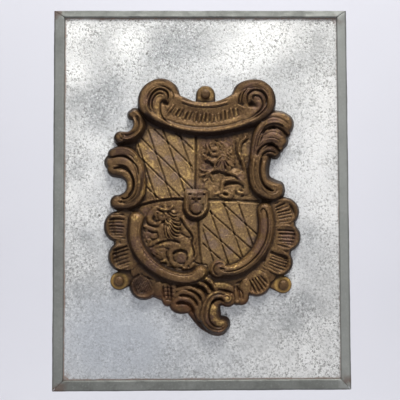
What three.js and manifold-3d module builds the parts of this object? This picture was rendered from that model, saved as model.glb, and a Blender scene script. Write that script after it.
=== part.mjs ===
// Heraldic wall plaque: a cast rococo cartouche nailed on a white-metal plate
// whose four sides are edged with folded grey metal strips.
// Millimetres, +Z up, front towards -Y, +X to the right seen from the front.
// The origin is the centre of the flat back, which lies on the wall.
import * as THREE from 'three';
import { mergeVertices } from 'three/addons/utils/BufferGeometryUtils.js';
import Module from 'manifold-3d';

// ---------------------------------------------------------------- driving dimensions
const WIDTH = 155.5;            // outside, over the edging strips
const HEIGHT = 200;
const PLATE_T = 3.0;            // backing plate
const GAP = 0.3;                // air between pieces that lie on each other
const STRIP_WALL = 1.2;         // thickness of the strip metal at the side wall
const STRIP_TOP_IN = 4.55;      // front of a strip above the wall plane, at its inner edge
const STRIP_TOP_OUT = 4.2;      // and at its rounded outer edge
const STRIP_ROUND = 1.3;        // outer edge radius
const STRIP_WIDTH = { top: 4.0, bottom: 5.8, left: 5.9, right: 5.4 };
const TURN = 1.2;               // the cartouche hangs turned this many degrees clockwise
const EDGE_H = 1.2;             // height of the cast edge, where the outline is taken
const STEP = 1.72;              // spacing of the facets on the relief
const LUG_HOLE_R = 1.3;
const NAIL = { shankR: 1.0, headR: 2.55, headH: 1.75, under: 2.95, into: 2.0 };
const NAILS = { nail_top: [1.3, 54.5], nail_left: [-41.9, -43.8], nail_right: [43.25, -44.4] };

// Colours
const BRASS = { color: 0x5f4631, roughness: 0.5, metalness: 0.8 };
const WHITE_METAL = { color: 0xc9cace, roughness: 0.45, metalness: 0.7 };
const GREY_METAL = { color: 0x868880, roughness: 0.6, metalness: 0.6 };
const NAIL_METAL = { color: 0x5a4025, roughness: 0.45, metalness: 0.8 };

// ---------------------------------------------------------------- the relief
// Heights are above the plate's front. A moulding follows a spine of a few stations
// [x, z, half width, height]; left and right are the flank slopes on each side of
// the way it runs, round is how far its edges drop, tilt leans its top across.

// quartered shield field: a rounded rectangle with a low crown
const SHIELD = { x: -1.5, z: -1.5, a: 33.0, b: 37.5, power: 3.6, height: 3.2, crown: 2.0 };

// low web behind the scrolls that ties the casting together
const WEB = [
  { spine: [[-38, -14, 7.5, 2.6], [-37.5, -32, 7, 2.6]] },
  { spine: [[39.5, -6, 8, 2.6], [40, -31, 6, 2.6]] },
  { spine: [[-30, -38, 5, 2.6], [-27, -44, 5.5, 2.6], [-14, -50, 6, 2.6], [-4, -54, 6, 2.6], [2, -56, 5.5, 2.8]] },
  { spine: [[-4, -44, 5, 2.8], [10, -46, 6, 2.8], [24, -44, 6.5, 2.6], [34, -38, 6, 2.6]] },
  { spine: [[-36, 26, 5, 2.6], [-36, 18, 5, 2.6], [-33, 8, 3, 2.6], [-36, -4, 5, 2.6], [-38, -8, 5, 2.6]] },
  { spine: [[-27, 37, 4, 3.0], [-30, 28, 3, 3.0]] },
  { spine: [[24, 36, 3, 3.2], [31, 44, 5, 2.6], [33, 30, 6, 2.6], [30, 18, 3, 2.6], [32, 4, 4.5, 2.6]] },
].map((m) => ({ ...m, left: 2, right: 2, round: 0, crown: 0 }));

// grooves between the quarters
const QUARTER_LINES = [
  { spine: [[-3.3, 33], [-3.2, 20], [-3.3, 5]], half: 0.9, depth: 0.7 },
  { spine: [[-1.2, -12], [-0.8, -24], [0.4, -34]], half: 0.9, depth: 0.7 },
  { spine: [[-33.5, -5.1], [-22, -2.1], [-9, -1.0]], half: 0.9, depth: 0.8 },
  { spine: [[4.2, -0.7], [20, -0.9], [30, -1.2]], half: 0.9, depth: 0.8 },
];
// lozenge quarters: two families of slanted grooves, angle and offsets along the normal
const LOZENGES = [
  { box: [-33.5, -4.2, 0, 34], families: [[-43.6, [-7.4, 0.15, 8.3, 14.9]], [-70, [-22.3, -14.8, -7.2, 0.1]]] },
  { box: [0.5, 30, -35, -3], families: [[-41, [-17.1, -9.8, -2.3, 5.3]], [-70, [-4.7, 2.2, 10.1, 17.3]]] },
];
const LOZENGE_GROOVE = { half: 0.9, depth: 0.55 };

// two rampant lions facing left, as limbs that stand on the field [x, z, half width, height over it]
const LIONS = [
  [[12, 20, 3.4, 1.2], [13, 16, 4.2, 1.5], [16.5, 13, 3.0, 1.5], [20, 10.6, 2.5, 1.4], [22.4, 7.2, 1.8, 1.3], [23.2, 3.4, 1.3, 1.0]],
  [[11, 23.5, 2.8, 1.3], [10.8, 17.8, 5.0, 1.6]],
  [[9, 27, 3.0, 1.4], [6.2, 24.6, 1.7, 1.2]],
  [[8, 20, 1.9, 1.1], [4.2, 19.6, 1.3, 1.1], [1.6, 21.6, 1.2, 1.1]],
  [[2.4, 27.6, 1.2, 1.0], [4.4, 23.6, 1.1, 1.0]],
  [[8.5, 14.8, 1.7, 1.2], [4.6, 13.8, 1.3, 1.1], [0.6, 12.0, 1.1, 1.0]],
  [[15, 9.6, 1.5, 1.1], [11.4, 8, 1.2, 1.0], [10.6, 4, 1.2, 1.0], [12.6, 1.4, 1.1, 0.9]],
  [[18, 6.2, 1.6, 0.9], [16, 3.6, 1.3, 0.9], [16, 1.6, 1.2, 0.8]],
  [[23, 13, 0.9, 0.9], [21.6, 19.6, 0.9, 0.9], [19.6, 25, 0.9, 0.9], [20.4, 29.6, 0.9, 0.9], [22.8, 32, 0.9, 0.8]],
  [[-22.6, -10, 3.0, 1.4], [-25.4, -9.2, 1.6, 1.2]],
  [[-25.2, -12.4, 0.9, 1.0], [-22.4, -14.2, 0.9, 1.0]],
  [[-19.6, -6.9, 1.0, 1.1], [-15.4, -6.7, 1.0, 1.1]],
  [[-19, -9.6, 2.8, 1.3], [-16, -13.5, 3.6, 1.6], [-15, -18, 4.0, 1.7], [-13, -20.8, 3.2, 1.5]],
  [[-12.6, -22.6, 2.6, 1.4], [-9.4, -24.6, 2.5, 1.4], [-6.8, -27.6, 1.9, 1.4], [-5.6, -31.2, 1.4, 1.2], [-7.6, -35.6, 1.2, 1.0]],
  [[-12, -26.2, 1.6, 1.2], [-15, -28, 1.5, 1.1], [-16.2, -31, 1.3, 1.0], [-19, -34, 1.2, 0.9]],
  [[-14, -22.6, 1.4, 1.2], [-19.4, -23.8, 1.4, 1.2], [-25.6, -27.2, 1.2, 1.0]],
  [[-19.6, -16.2, 1.6, 1.2], [-22.6, -19, 1.4, 1.1], [-28.4, -17.6, 1.3, 1.0]],
  [[-4.3, -31.5, 0.9, 0.9], [-5.2, -25, 0.9, 0.9], [-4.6, -20.4, 1.0, 1.0], [-8.6, -15, 1.2, 1.0]],
];

// small shield at the centre with a rim and an orb
const CENTRE_SHIELD = { x: -2.6, top: 4.3, half: 6.7, bottom: -11.6, height: 0.9, rim: 0.6, rimWidth: 1.1, orb: [-2.7, -5.2, 3.4, 1.5] };

// fan shells round the foot: centre, radii, the way the fan points, rim height
const SHELLS = [
  { x: -43.6, z: -15.6, a: 7.0, b: 8.0, point: 178, rim: 5.0 },
  { x: -41.0, z: -31.2, a: 7.0, b: 7.6, point: 196, rim: 5.0 },
  { x: -29.0, z: -46.4, a: 7.6, b: 7.1, point: 238, rim: 4.6 },
  { x: 29.6, z: -43.4, a: 7.4, b: 7.4, point: -52, rim: 4.8 },
  { x: 40.9, z: -32.8, a: 7.5, b: 7.3, point: -24, rim: 4.9 },
  { x: 44.2, z: -19.6, a: 8.1, b: 7.9, point: -2, rim: 5.0 },
  { x: 43.4, z: -6.4, a: 8.0, b: 7.7, point: 10, rim: 5.0 },
];
const SHELL = { floor: 3.2, flute: 0.35, pitch: 4.1, rimAt: 0.86, rimWidth: 1.0 };

const LUGS = [
  { spine: [[1.35, 54.4, 4.7, 2.6], [1.35, 50, 4.9, 2.6]] },
  { spine: [[-41.8, -43.8, 4.5, 2.5], [-37, -41.5, 4.2, 2.6]] },
  { spine: [[43.3, -44.4, 4.3, 2.5], [38.5, -42.5, 4.0, 2.6]] },
].map((m) => ({ ...m, left: 3, right: 3, round: 0.3, crown: 0 }));

// leaves and the curled tail at the foot
const FOOT_KNOBS = [
  { x: -9.4, z: -56.0, a: 5.6, b: 4.0, h: 4.8, drop: 1.4 },
  { x: 14.6, z: -52.2, a: 3.9, b: 3.9, h: 5.4, drop: 1.6 },
  { x: 21.5, z: -51.2, a: 3.9, b: 3.9, h: 4.6, drop: 1.2 },
];
const FOOT = [
  { spine: [[-17.8, -47, 3.2, 4.6], [-17.4, -53.4, 2.6, 4.2]], crown: 0.2 },
  { spine: [[-4, -45.8, 2.0, 4.8], [1, -47.6, 2.0, 5.0], [4, -51.5, 1.8, 5.0], [4, -56, 1.4, 4.6]], crown: 0.3 },
  { spine: [[-13, -50.6, 1.6, 4.8], [-8, -48.4, 1.7, 5.2], [-3, -49.4, 1.8, 5.4], [0.4, -53, 1.7, 5.4], [1.2, -58, 1.6, 5.2]], crown: 0.3 },
  { spine: [[-12.5, -54.8, 2.4, 5.0], [-8.5, -53.6, 2.2, 5.2], [-4.5, -54.8, 2.2, 5.2], [-2.2, -58, 2.2, 5.0], [0, -62, 2.2, 4.8]], crown: 0.35 },
  { spine: [[13.0, -51.8, 1.6, 5.4], [10, -50.4, 2.1, 5.9], [6, -51.0, 2.2, 6.2], [2.8, -54.2, 2.3, 6.4], [0.8, -58.5, 2.4, 6.6],
            [0.5, -62.6, 2.5, 6.6], [3.0, -66.6, 1.8, 6.6], [7.0, -68.6, 1.0, 6.4], [11.4, -68.4, 1.0, 6.0], [13.8, -65.8, 1.0, 5.4]], left: 2.6, right: 2.8, round: 0.4 },
  { spine: [[12.2, -53.6, 1.4, 4.6], [9.6, -54.6, 1.8, 5.0], [8.0, -56.8, 1.8, 5.4], [7.4, -60, 1.9, 5.6], [8.1, -63, 2.0, 5.6],
            [10.8, -64.6, 1.9, 5.4], [13.2, -64.5, 1.6, 4.8]], crown: 0.4, left: 4, right: 3 },
];

// the C-scrolls; bead is [place across, half width, height] of a raised or sunk line along the top
const SCROLLS = [
  { spine: [[-37.6, 43.4, 0.9, 4.8], [-35.6, 42.3, 1.9, 6.0], [-33.8, 40.2, 2.4, 6.6], [-33.4, 37, 2.5, 6.9], [-34.8, 33.6, 2.5, 7.0],
            [-38.3, 31.4, 2.3, 6.8], [-41.6, 31.2, 2.5, 6.4], [-43, 30.4, 2.6, 6.0]], left: 1.6, right: 6, round: 0.5, bead: [0.1, 1.2, -1.1] },
  { spine: [[-46.4, 22.4, 2.3, 5.2], [-43, 23.5, 2.5, 5.6], [-39, 23.2, 2.4, 5.8], [-35.6, 20.6, 2.4, 6.0], [-33, 16, 2.2, 6.3], [-31.7, 11, 2.1, 6.8],
            [-31.4, 6, 2.1, 7.0], [-31.9, 1.5, 2.2, 7.0], [-34.3, -2.4, 2.2, 6.8], [-38.2, -4.3, 2.0, 6.4], [-42, -4.6, 1.8, 6.0], [-44.2, -3.2, 2.2, 5.6]], left: 3.4, right: 2.5 },
  { spine: [[-46.0, 13.4, 2.6, 4.4], [-43.5, 13.2, 2.7, 4.6], [-40.2, 12.4, 2.5, 4.8], [-37.8, 10, 2.2, 4.8], [-36.8, 6.8, 1.6, 4.8],
            [-37.2, 3.4, 1.6, 4.7], [-39, 0.8, 1.8, 4.4], [-41, -0.2, 1.8, 4.2]], left: 2.5, right: 6, round: 1.2, bead: [0.05, 0.9, 0.5] },
  { spine: [[-46.8, 17, 2.4, 5.4], [-44, 18.6, 2.1, 5.8], [-40.5, 18.3, 2.0, 6.0], [-37.4, 16.2, 1.7, 6.3], [-35.2, 12.6, 1.3, 6.6], [-34, 8.5, 0.8, 6.9],
            [-33.8, 5, 0.7, 6.9], [-34.9, 1.2, 0.7, 6.7], [-37.2, -1.5, 0.7, 6.3], [-40, -2.4, 0.7, 6.0], [-41.8, -1.7, 0.7, 5.6]], left: 1.2, right: 3 },
  { spine: [[-33.2, -11.8, 3.4, 6.4], [-34.2, -16, 3.1, 6.7], [-34.1, -20.5, 3.0, 6.9], [-32.9, -25.2, 3.0, 7.0], [-30.2, -29.8, 3.0, 7.0], [-26.3, -34, 2.8, 7.0],
            [-21.3, -37.7, 2.6, 7.0], [-15.5, -40.4, 2.5, 7.0], [-9, -41.8, 2.5, 7.0], [-4, -41.4, 2.6, 7.0], [-0.8, -39.8, 2.7, 7.0], [0.2, -38.3, 2.6, 7.0]], left: 2.6, right: 1.4, bead: [0.84, 0.6, 0.4] },
  { spine: [[31.6, -6.4, 1.6, 5.4], [32.9, -8.8, 2.6, 6.2], [33.8, -12, 3.4, 6.8], [33.9, -16, 3.5, 7.0], [33.0, -20.5, 3.5, 7.0], [31, -25.2, 3.4, 7.0],
            [28, -29.6, 3.2, 7.0], [24, -33.4, 3.0, 7.0], [19.4, -36.3, 2.7, 7.0], [15, -37.7, 2.2, 7.0], [11.6, -37.4, 1.8, 6.8], [9.6, -36.4, 1.3, 6.2]], left: 1.2, right: 2.6, bead: [0.14, 0.8, -0.8] },
  { spine: [[29.8, 40, 2.4, 5.2], [33.5, 42, 3.2, 5.8], [38, 41.8, 3.8, 6.0], [41.6, 39.3, 5.4, 6.2]], crown: 0.3, right: 2.2 },
  { spine: [[27.6, 22, 2.6, 5.4], [28.6, 28, 2.8, 5.6], [29.8, 33.5, 3.2, 5.6], [31.5, 38, 3.4, 5.6]], crown: 0.15, left: 2.2, right: 2.4 },
  { spine: [[31, 30.8, 2.4, 5.6], [33.6, 33, 2.9, 6.0], [37, 33.6, 3.0, 6.2], [40, 31.8, 3.1, 6.2], [40.9, 29.4, 2.9, 6.0]], left: 4, right: 2.2 },
  { spine: [[31, 23, 1.8, 5.6], [33, 25.4, 2.0, 6.0], [36, 25.9, 2.3, 6.0], [38, 24.4, 2.0, 5.4]], crown: 0.3, left: 2.6, right: 5 },
  { spine: [[33, 20.8, 1.4, 4.4], [31.4, 16.5, 2.0, 4.4], [31.4, 12.4, 2.0, 4.4], [33.2, 9, 2.2, 4.5], [36.6, 7.2, 2.4, 4.6], [40, 6, 2.8, 4.6]], crown: 0.1, right: 3 },
  { spine: [[31.2, 24, 1.4, 5.6], [28.6, 21.5, 2.2, 6.4], [27.4, 17.5, 2.5, 6.7], [27.2, 13.5, 2.6, 6.9], [27.8, 9.5, 2.6, 7.0], [29.6, 5.4, 2.7, 7.0],
            [32.8, 2.8, 2.4, 6.8], [36.6, 1.8, 2.2, 6.4], [39.4, 3.0, 2.3, 6.0], [40.4, 5.0, 2.4, 5.4]], left: 2.6, right: 2.4, bead: [0.7, 0.8, 0.4] },
];
const SCROLL_KNOBS = [
  { x: -33.0, z: -11.6, a: 3.6, b: 3.6, h: 7.6, drop: 1.6, slope: 3 },
  { x: 0.0, z: -38.0, a: 2.8, b: 2.8, h: 7.9, drop: 1.4, slope: 2.5 },
  { x: -44.2, z: -2.8, a: 2.9, b: 2.9, h: 5.9, drop: 1.6 },
  { x: -45.8, z: 14.2, a: 3.3, b: 3.3, h: 5.4, drop: 1.4 },
  { x: 38.0, z: 5.6, a: 2.2, b: 2.2, h: 5.6, drop: 1.0, slope: 2.5 },
  { x: -42.8, z: 30.8, a: 3.0, b: 3.0, h: 6.4, drop: 1.3 },
];

// banner: two volutes, the hollow panel between them and the moulding along its foot
const VOLUTES = [
  { x: -22.6, z: 51.0, a: 9.5, b: 9.5, h: 6.0, drop: 0.3 },
  { x: 26.6, z: 52.2, a: 9.5, b: 9.5, h: 6.0, drop: 0.3 },
];
const BANNER = [
  { spine: [[-22, 49.6, 8.0, 6.2], [-17, 46.6, 8.2, 6.2], [-11, 44.2, 8.0, 6.2], [-5, 43, 7.2, 6.2], [0.5, 42.5, 7.1, 6.2], [6, 42.9, 7.2, 6.2],
            [12, 44, 7.8, 6.2], [18, 46.5, 8.2, 6.2], [24, 50.6, 7.6, 6.2]], crown: 0, right: 3, round: 0.5, bead: [0.66, 0.8, 1.0] },
  { spine: [[-14.6, 53.6, 1.2, 6.4], [-17, 57.2, 1.8, 6.8], [-21.6, 59.2, 2.0, 7.0], [-26.8, 58.3, 2.0, 7.1], [-30.4, 54.6, 2.1, 7.2], [-31.3, 49.8, 2.1, 7.2],
            [-29.6, 45.2, 2.1, 7.5], [-25.6, 41.6, 1.4, 7.8], [-20.5, 38.9, 1.0, 7.9], [-13, 36.2, 0.8, 7.9], [-6, 34.9, 0.8, 7.9], [1, 34.5, 0.8, 7.9],
            [8.5, 35.2, 0.8, 7.9], [16, 36.8, 0.9, 7.9], [23, 39.2, 1.1, 7.9], [29.4, 42.4, 1.6, 7.6], [34, 46.4, 2.1, 7.3], [35.6, 51.5, 2.1, 7.2],
            [34.2, 56.4, 2.1, 7.1], [30.2, 59.8, 2.0, 7.0], [25.2, 60.3, 2.0, 6.8], [20.6, 58, 1.8, 6.6], [18, 54.4, 1.2, 6.2]],
    crown: 0.15, tilt: 0.3, left: 2.6, right: 1.4, round: 0.5,
    // along the plate the flank is steep, over the shield it is a broad cove
    steepAbove: 44 },
];

// ---------------------------------------------------------------- shaping functions
const smoothMax = (a, b, k) => { const h = Math.max(k - Math.abs(a - b), 0) / k; return Math.max(a, b) + h * h * k * 0.25; };
const clamp = (v, a, b) => Math.min(b, Math.max(a, v));

// a spine's stations joined by a smooth curve, then looked up by nearest point
function smoothLine(points, perSpan) {
  const curve = new THREE.CatmullRomCurve3(points.map((p) => new THREE.Vector3(p[0], p[1], 0)), false, 'centripetal');
  const n = (points.length - 1) * perSpan, out = [];
  for (let i = 0; i <= n; i++) {
    const u = (i / n) * (points.length - 1), j = Math.min(Math.floor(u), points.length - 2), f = u - j;
    const v = curve.getPoint(i / n);
    const w = points[j].length > 2 ? [2, 3].map((c) => points[j][c] + (points[j + 1][c] - points[j][c]) * f) : [0, 0];
    out.push([v.x, v.y, ...w]);
  }
  return out;
}
function nearest(line, x, z) {
  let best = null, d2 = Infinity;
  for (let i = 0; i < line.length - 1; i++) {
    const a = line[i], b = line[i + 1], dx = b[0] - a[0], dz = b[1] - a[1], l2 = dx * dx + dz * dz;
    const px = x - a[0], pz = z - a[1], t = clamp((px * dx + pz * dz) / l2, 0, 1);
    const ex = px - t * dx, ez = pz - t * dz, e = ex * ex + ez * ez;
    if (e < d2) { d2 = e; best = { side: (dx * pz - dz * px) / Math.sqrt(l2), w: a[2] + (b[2] - a[2]) * t, h: a[3] + (b[3] - a[3]) * t, end: Math.min(i + t, line.length - 1 - i - t) }; }
  }
  best.d = Math.sqrt(d2);
  return best;
}
function mouldingHeight(m, x, z) {
  const q = nearest(m.line, x, z), { d, side, w } = q;
  const across = clamp(side / w, -1, 1), rim = Math.min(1, 0.6 * w);
  let top = q.h - (m.crown ?? 0.25) * w * Math.min(d / w, 1) ** 2 + (m.tilt ?? 0) * across;
  if (m.bead) top += m.bead[2] * Math.exp(-(((side - m.bead[0] * w) / m.bead[1]) ** 2)) * clamp(q.end / 6, 0, 1) * clamp(1.6 - d / w, 0, 1);
  const turn = 0.5 + 0.5 * clamp(side / Math.max(d, 0.05), -1, 1);
  const right = m.steepAbove && z > m.steepAbove ? 6 : (m.right ?? 6), slope = right + ((m.left ?? 6) - right) * turn;
  return top - (m.round ?? 0.9) * (clamp(d - (w - rim), 0, rim) / rim) ** 2 - Math.max(d - w, 0) * slope;
}
function knobHeight(k, x, z) {
  const q = Math.hypot((x - k.x) / k.a, (z - k.z) / k.b);
  return k.h - k.drop * (1 - Math.sqrt(Math.max(0, 1 - Math.min(q, 1) ** 2))) - Math.max(q - 1, 0) * Math.min(k.a, k.b) * (k.slope ?? 6);
}
function shellHeight(s, x, z) {
  const c = Math.cos(THREE.MathUtils.degToRad(s.point)), n = Math.sin(THREE.MathUtils.degToRad(s.point)), m = Math.min(s.a, s.b);
  const X = x - s.x, Z = z - s.z, q = Math.hypot(X / s.a, Z / s.b), u = X * c + Z * n, v = -X * n + Z * c;
  let h = SHELL.floor - 0.25 * clamp(u / m, -1.5, 1);
  h += SHELL.flute * Math.cos(2 * Math.PI * v / SHELL.pitch) * clamp((0.86 * m - q * m) / 0.8, 0, 1) * clamp(u + 0.75 * m, 0, 1);
  h += (s.rim - SHELL.floor) * Math.exp(-(((q - SHELL.rimAt) * m / SHELL.rimWidth) ** 2)) * clamp((u + 0.55 * m) / (0.5 * m), 0, 1);
  return h - clamp((q - 0.88) / 0.12, 0, 1) ** 2 * 1.6 - Math.max(q * m - m, 0) * 7;
}
function fieldHeight(x, z) {
  const u = (x - SHIELD.x) / SHIELD.a, v = (z - SHIELD.z) / SHIELD.b;
  return SHIELD.height + SHIELD.crown * Math.max(0, 1 - u * u) * Math.max(0, 1 - v * v);
}
function shieldHeight(x, z) {
  const u = Math.abs((x - SHIELD.x) / SHIELD.a), v = Math.abs((z - SHIELD.z) / SHIELD.b);
  const q = (u ** SHIELD.power + v ** SHIELD.power) ** (1 / SHIELD.power);
  return q < 1 ? fieldHeight(x, z) : SHIELD.height - (q - 1) * 53;
}
function lozengeGrooves(x, z) {
  let cut = 0;
  for (const { box, families } of LOZENGES) {
    const inside = clamp(Math.min(x - box[0], box[1] - x, z - box[2], box[3] - z), 0, 1);
    if (inside <= 0) continue;
    for (const [angle, offsets] of families) {
      const a = THREE.MathUtils.degToRad(angle), across = -Math.sin(a) * x + Math.cos(a) * z;
      for (const o of offsets) cut = Math.max(cut, inside * Math.exp(-(((across - o) / LOZENGE_GROOVE.half) ** 2)));
    }
  }
  return cut * LOZENGE_GROOVE.depth;
}
function centreShield(x, z) {
  const c = CENTRE_SHIELD, X = x - c.x, round = c.bottom + c.half;
  const inside = z > round ? Math.min(c.half - Math.abs(X), c.top - z) : c.half - Math.hypot(X, z - round);
  const orb = c.orb[3] * Math.sqrt(Math.max(0, 1 - ((x - c.orb[0]) ** 2 + (z - c.orb[1]) ** 2) / c.orb[2] ** 2));
  return { inside, height: c.height + c.rim * Math.exp(-(((inside - 0.9) / c.rimWidth) ** 2)) + orb };
}
for (const m of [...WEB, ...LUGS, ...FOOT, ...SCROLLS, ...BANNER]) m.line = smoothLine(m.spine, 6);
for (const m of QUARTER_LINES) m.line = smoothLine(m.spine, 6);
const lionLines = LIONS.map((spine) => smoothLine(spine, 4));

function reliefHeight(x, z) {
  let h = Math.max(-6, shieldHeight(x, z));
  const field = fieldHeight(x, z);
  if (h > 2) {
    h -= lozengeGrooves(x, z);
    for (const m of QUARTER_LINES) h -= m.depth * Math.exp(-((nearest(m.line, x, z).d / m.half) ** 2));
    for (const line of lionLines) {
      const q = nearest(line, x, z);
      if (q.d < q.w * 1.5) h = smoothMax(h, field - 0.4 + (q.h + 0.4) * Math.sqrt(Math.max(0, 1 - (q.d / (q.w * 1.2)) ** 2)), 0.3);
    }
    const c = centreShield(x, z);
    if (c.inside > -1.5) h = c.inside > 0 ? field + c.height : Math.min(h, field + c.height + c.inside * 2);
  }
  for (const m of WEB) h = smoothMax(h, mouldingHeight(m, x, z), 0.3);
  for (const s of SHELLS) h = smoothMax(h, shellHeight(s, x, z), 0.25);
  for (const m of LUGS) h = smoothMax(h, mouldingHeight(m, x, z), 0.3);
  for (const k of FOOT_KNOBS) h = smoothMax(h, knobHeight(k, x, z), 0.3);
  for (const m of FOOT) h = smoothMax(h, mouldingHeight(m, x, z), 0.3);
  for (const m of SCROLLS) h = smoothMax(h, mouldingHeight(m, x, z), 0.3);
  for (const k of SCROLL_KNOBS) h = smoothMax(h, knobHeight(k, x, z), 0.3);
  for (const k of VOLUTES) h = smoothMax(h, knobHeight(k, x, z), 0.3);
  for (const m of BANNER) h = smoothMax(h, mouldingHeight(m, x, z), 0.4);
  return h;
}

// A casting from the relief: the outline is where the height passes EDGE_H. Grid points
// near the outline are moved on to it, triangles across it are cut, and the rim is
// carried straight back to the flat rear face.
function castingGeometry(height, x0, x1, z0, z1, step, back) {
  const nx = Math.round((x1 - x0) / step) + 1, nz = Math.round((z1 - z0) / step) + 1;
  const P = [], F = [];
  for (let j = 0; j < nz; j++) for (let i = 0; i < nx; i++) {
    const x = x0 + i * step, z = z0 + j * step, h = height(x, z);
    P.push([x, z, h]); F.push(h - EDGE_H);
  }
  // level used for the outline, softened so that steep flanks cut evenly
  const level = F.map((f) => clamp(f, -3, 3));
  const crossing = (a, b) => {
    let lo = 0, hi = 1; const A = P[a], B = P[b], sa = F[a] > 0;
    for (let k = 0; k < 18; k++) { const t = (lo + hi) / 2; if ((height(A[0] + (B[0] - A[0]) * t, A[1] + (B[1] - A[1]) * t) > EDGE_H) === sa) lo = t; else hi = t; }
    return (lo + hi) / 2;
  };
  const idx = (i, j) => j * nx + i, sgn = level.map((f) => (f > 0 ? 1 : -1)), tris = [], edges = new Map();
  for (let j = 0; j < nz - 1; j++) for (let i = 0; i < nx - 1; i++) {
    const a = idx(i, j), b = idx(i + 1, j), c = idx(i + 1, j + 1), d = idx(i, j + 1);
    if (Math.abs(P[a][2] - P[c][2]) < Math.abs(P[b][2] - P[d][2])) tris.push([a, b, c], [a, c, d]); else tris.push([a, b, d], [b, c, d]);
  }
  const key = (a, b) => (a < b ? a * 1e6 + b : b * 1e6 + a);
  for (const t of tris) for (let k = 0; k < 3; k++) {
    const a = t[k], b = t[(k + 1) % 3];
    if (sgn[a] !== sgn[b] && !edges.has(key(a, b))) { const s = Math.min(a, b), e = Math.max(a, b); edges.set(key(a, b), { s, e, t: crossing(s, e) }); }
  }
  // move the nearest grid point of a short cut on to the outline
  const SNAP = 0.32, moved = new Map();
  for (const c of edges.values()) {
    const near = c.t < SNAP ? [c.s, c.t] : c.t > 1 - SNAP ? [c.e, 1 - c.t] : null;
    if (!near) continue;
    const old = moved.get(near[0]);
    if (!old || near[1] < old.d) moved.set(near[0], { d: near[1], c });
  }
  for (const [v, { c }] of moved) {
    const A = P[c.s], B = P[c.e];
    moved.get(v).p = [A[0] + (B[0] - A[0]) * c.t, A[1] + (B[1] - A[1]) * c.t];
  }
  for (const [v, m] of moved) { P[v] = [m.p[0], m.p[1], EDGE_H]; sgn[v] = 0; }
  const cutAt = new Map();
  const cut = (a, b) => {
    const k = key(a, b);
    if (!cutAt.has(k)) {
      let lo = 0, hi = 1; const A = P[a], B = P[b], sa = sgn[a] > 0;
      for (let n = 0; n < 18; n++) { const t = (lo + hi) / 2; if ((height(A[0] + (B[0] - A[0]) * t, A[1] + (B[1] - A[1]) * t) > EDGE_H) === sa) lo = t; else hi = t; }
      const t = (lo + hi) / 2; P.push([A[0] + (B[0] - A[0]) * t, A[1] + (B[1] - A[1]) * t, EDGE_H]); cutAt.set(k, P.length - 1);
    }
    return cutAt.get(k);
  };
  const top = [];
  for (const t of tris) {
    const s = t.map((v) => sgn[v]), pos = s.filter((v) => v > 0).length, neg = s.filter((v) => v < 0).length;
    if (neg === 0 && pos > 0) { top.push(t); continue; }
    if (pos === 0) continue;
    const poly = [];
    for (let k = 0; k < 3; k++) {
      const a = t[k], b = t[(k + 1) % 3];
      if (sgn[a] >= 0) poly.push(a);
      if (sgn[a] * sgn[b] < 0) poly.push(cut(a, b));
    }
    for (let k = 1; k < poly.length - 1; k++) top.push([poly[0], poly[k], poly[k + 1]]);
  }
  // rim: directed edges used once, in loops
  const next = new Map(), used = new Set();
  for (const t of top) for (let k = 0; k < 3; k++) used.add(t[k] + '_' + t[(k + 1) % 3]);
  for (const t of top) for (let k = 0; k < 3; k++) { const a = t[k], b = t[(k + 1) % 3]; if (!used.has(b + '_' + a)) next.set(a, b); }
  const loops = [], seen = new Set();
  for (const s of next.keys()) {
    if (seen.has(s)) continue;
    const loop = []; let v = s;
    while (!seen.has(v)) { seen.add(v); loop.push(v); v = next.get(v); }
    loops.push(loop);
  }
  const loop = loops.sort((a, b) => b.length - a.length)[0];   // one outline
  const keep = new Set(loop);
  // only the part joined to the outline is kept
  const touch = new Map(); top.forEach((t, k) => t.forEach((v) => { if (!touch.has(v)) touch.set(v, []); touch.get(v).push(k); }));
  const good = new Set(), queue = [...keep];
  while (queue.length) for (const k of touch.get(queue.pop()) ?? []) if (!good.has(k)) { good.add(k); for (const v of top[k]) if (!keep.has(v)) { keep.add(v); queue.push(v); } }
  const pos = [], id = new Map(), put = (v) => { if (!id.has(v)) { id.set(v, pos.length / 3); pos.push(P[v][0], -(PLATE_T + P[v][2]), P[v][1]); } return id.get(v); };
  const index = [];
  top.forEach((t, k) => { if (good.has(k)) index.push(put(t[0]), put(t[1]), put(t[2])); });
  const rear = loop.map((v) => { pos.push(P[v][0], -(PLATE_T + back), P[v][1]); return pos.length / 3 - 1; });
  for (let k = 0; k < loop.length; k++) {
    const a = put(loop[k]), b = put(loop[(k + 1) % loop.length]), c = rear[(k + 1) % loop.length], d = rear[k];
    index.push(a, d, c, a, c, b);
  }
  const flat = THREE.ShapeUtils.triangulateShape(loop.map((v) => new THREE.Vector2(P[v][0], P[v][1])), []);
  for (const f of flat) index.push(rear[f[0]], rear[f[2]], rear[f[1]]);
  const g = new THREE.BufferGeometry();
  g.setAttribute('position', new THREE.Float32BufferAttribute(pos, 3));
  g.setIndex(index);
  return g;
}

// ---------------------------------------------------------------- cutting
const wasm = await Module(); wasm.setup();
function solid(geometry) {
  const g = geometry.clone(); g.deleteAttribute('normal'); g.deleteAttribute('uv');
  const m = mergeVertices(g, 1e-4);
  return new wasm.Manifold(new wasm.Mesh({ numProp: 3, vertProperties: new Float32Array(m.attributes.position.array), triVerts: new Uint32Array(m.index.array) }));
}
function fromSolid(s) {
  const m = s.getMesh(), g = new THREE.BufferGeometry();
  g.setAttribute('position', new THREE.BufferAttribute(new Float32Array(m.vertProperties), 3));
  g.setIndex(new THREE.BufferAttribute(new Uint32Array(m.triVerts), 1));
  g.computeVertexNormals();
  return g;
}
function hole([x, z], radius, yFront, yBack) {
  const g = new THREE.CylinderGeometry(radius, radius, yBack - yFront, 12);
  g.translate(x, (yFront + yBack) / 2, z);
  return solid(g);
}
const turned = ([x, z]) => { const a = THREE.MathUtils.degToRad(TURN); return [x * Math.cos(a) + z * Math.sin(a), -x * Math.sin(a) + z * Math.cos(a)]; };
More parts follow.
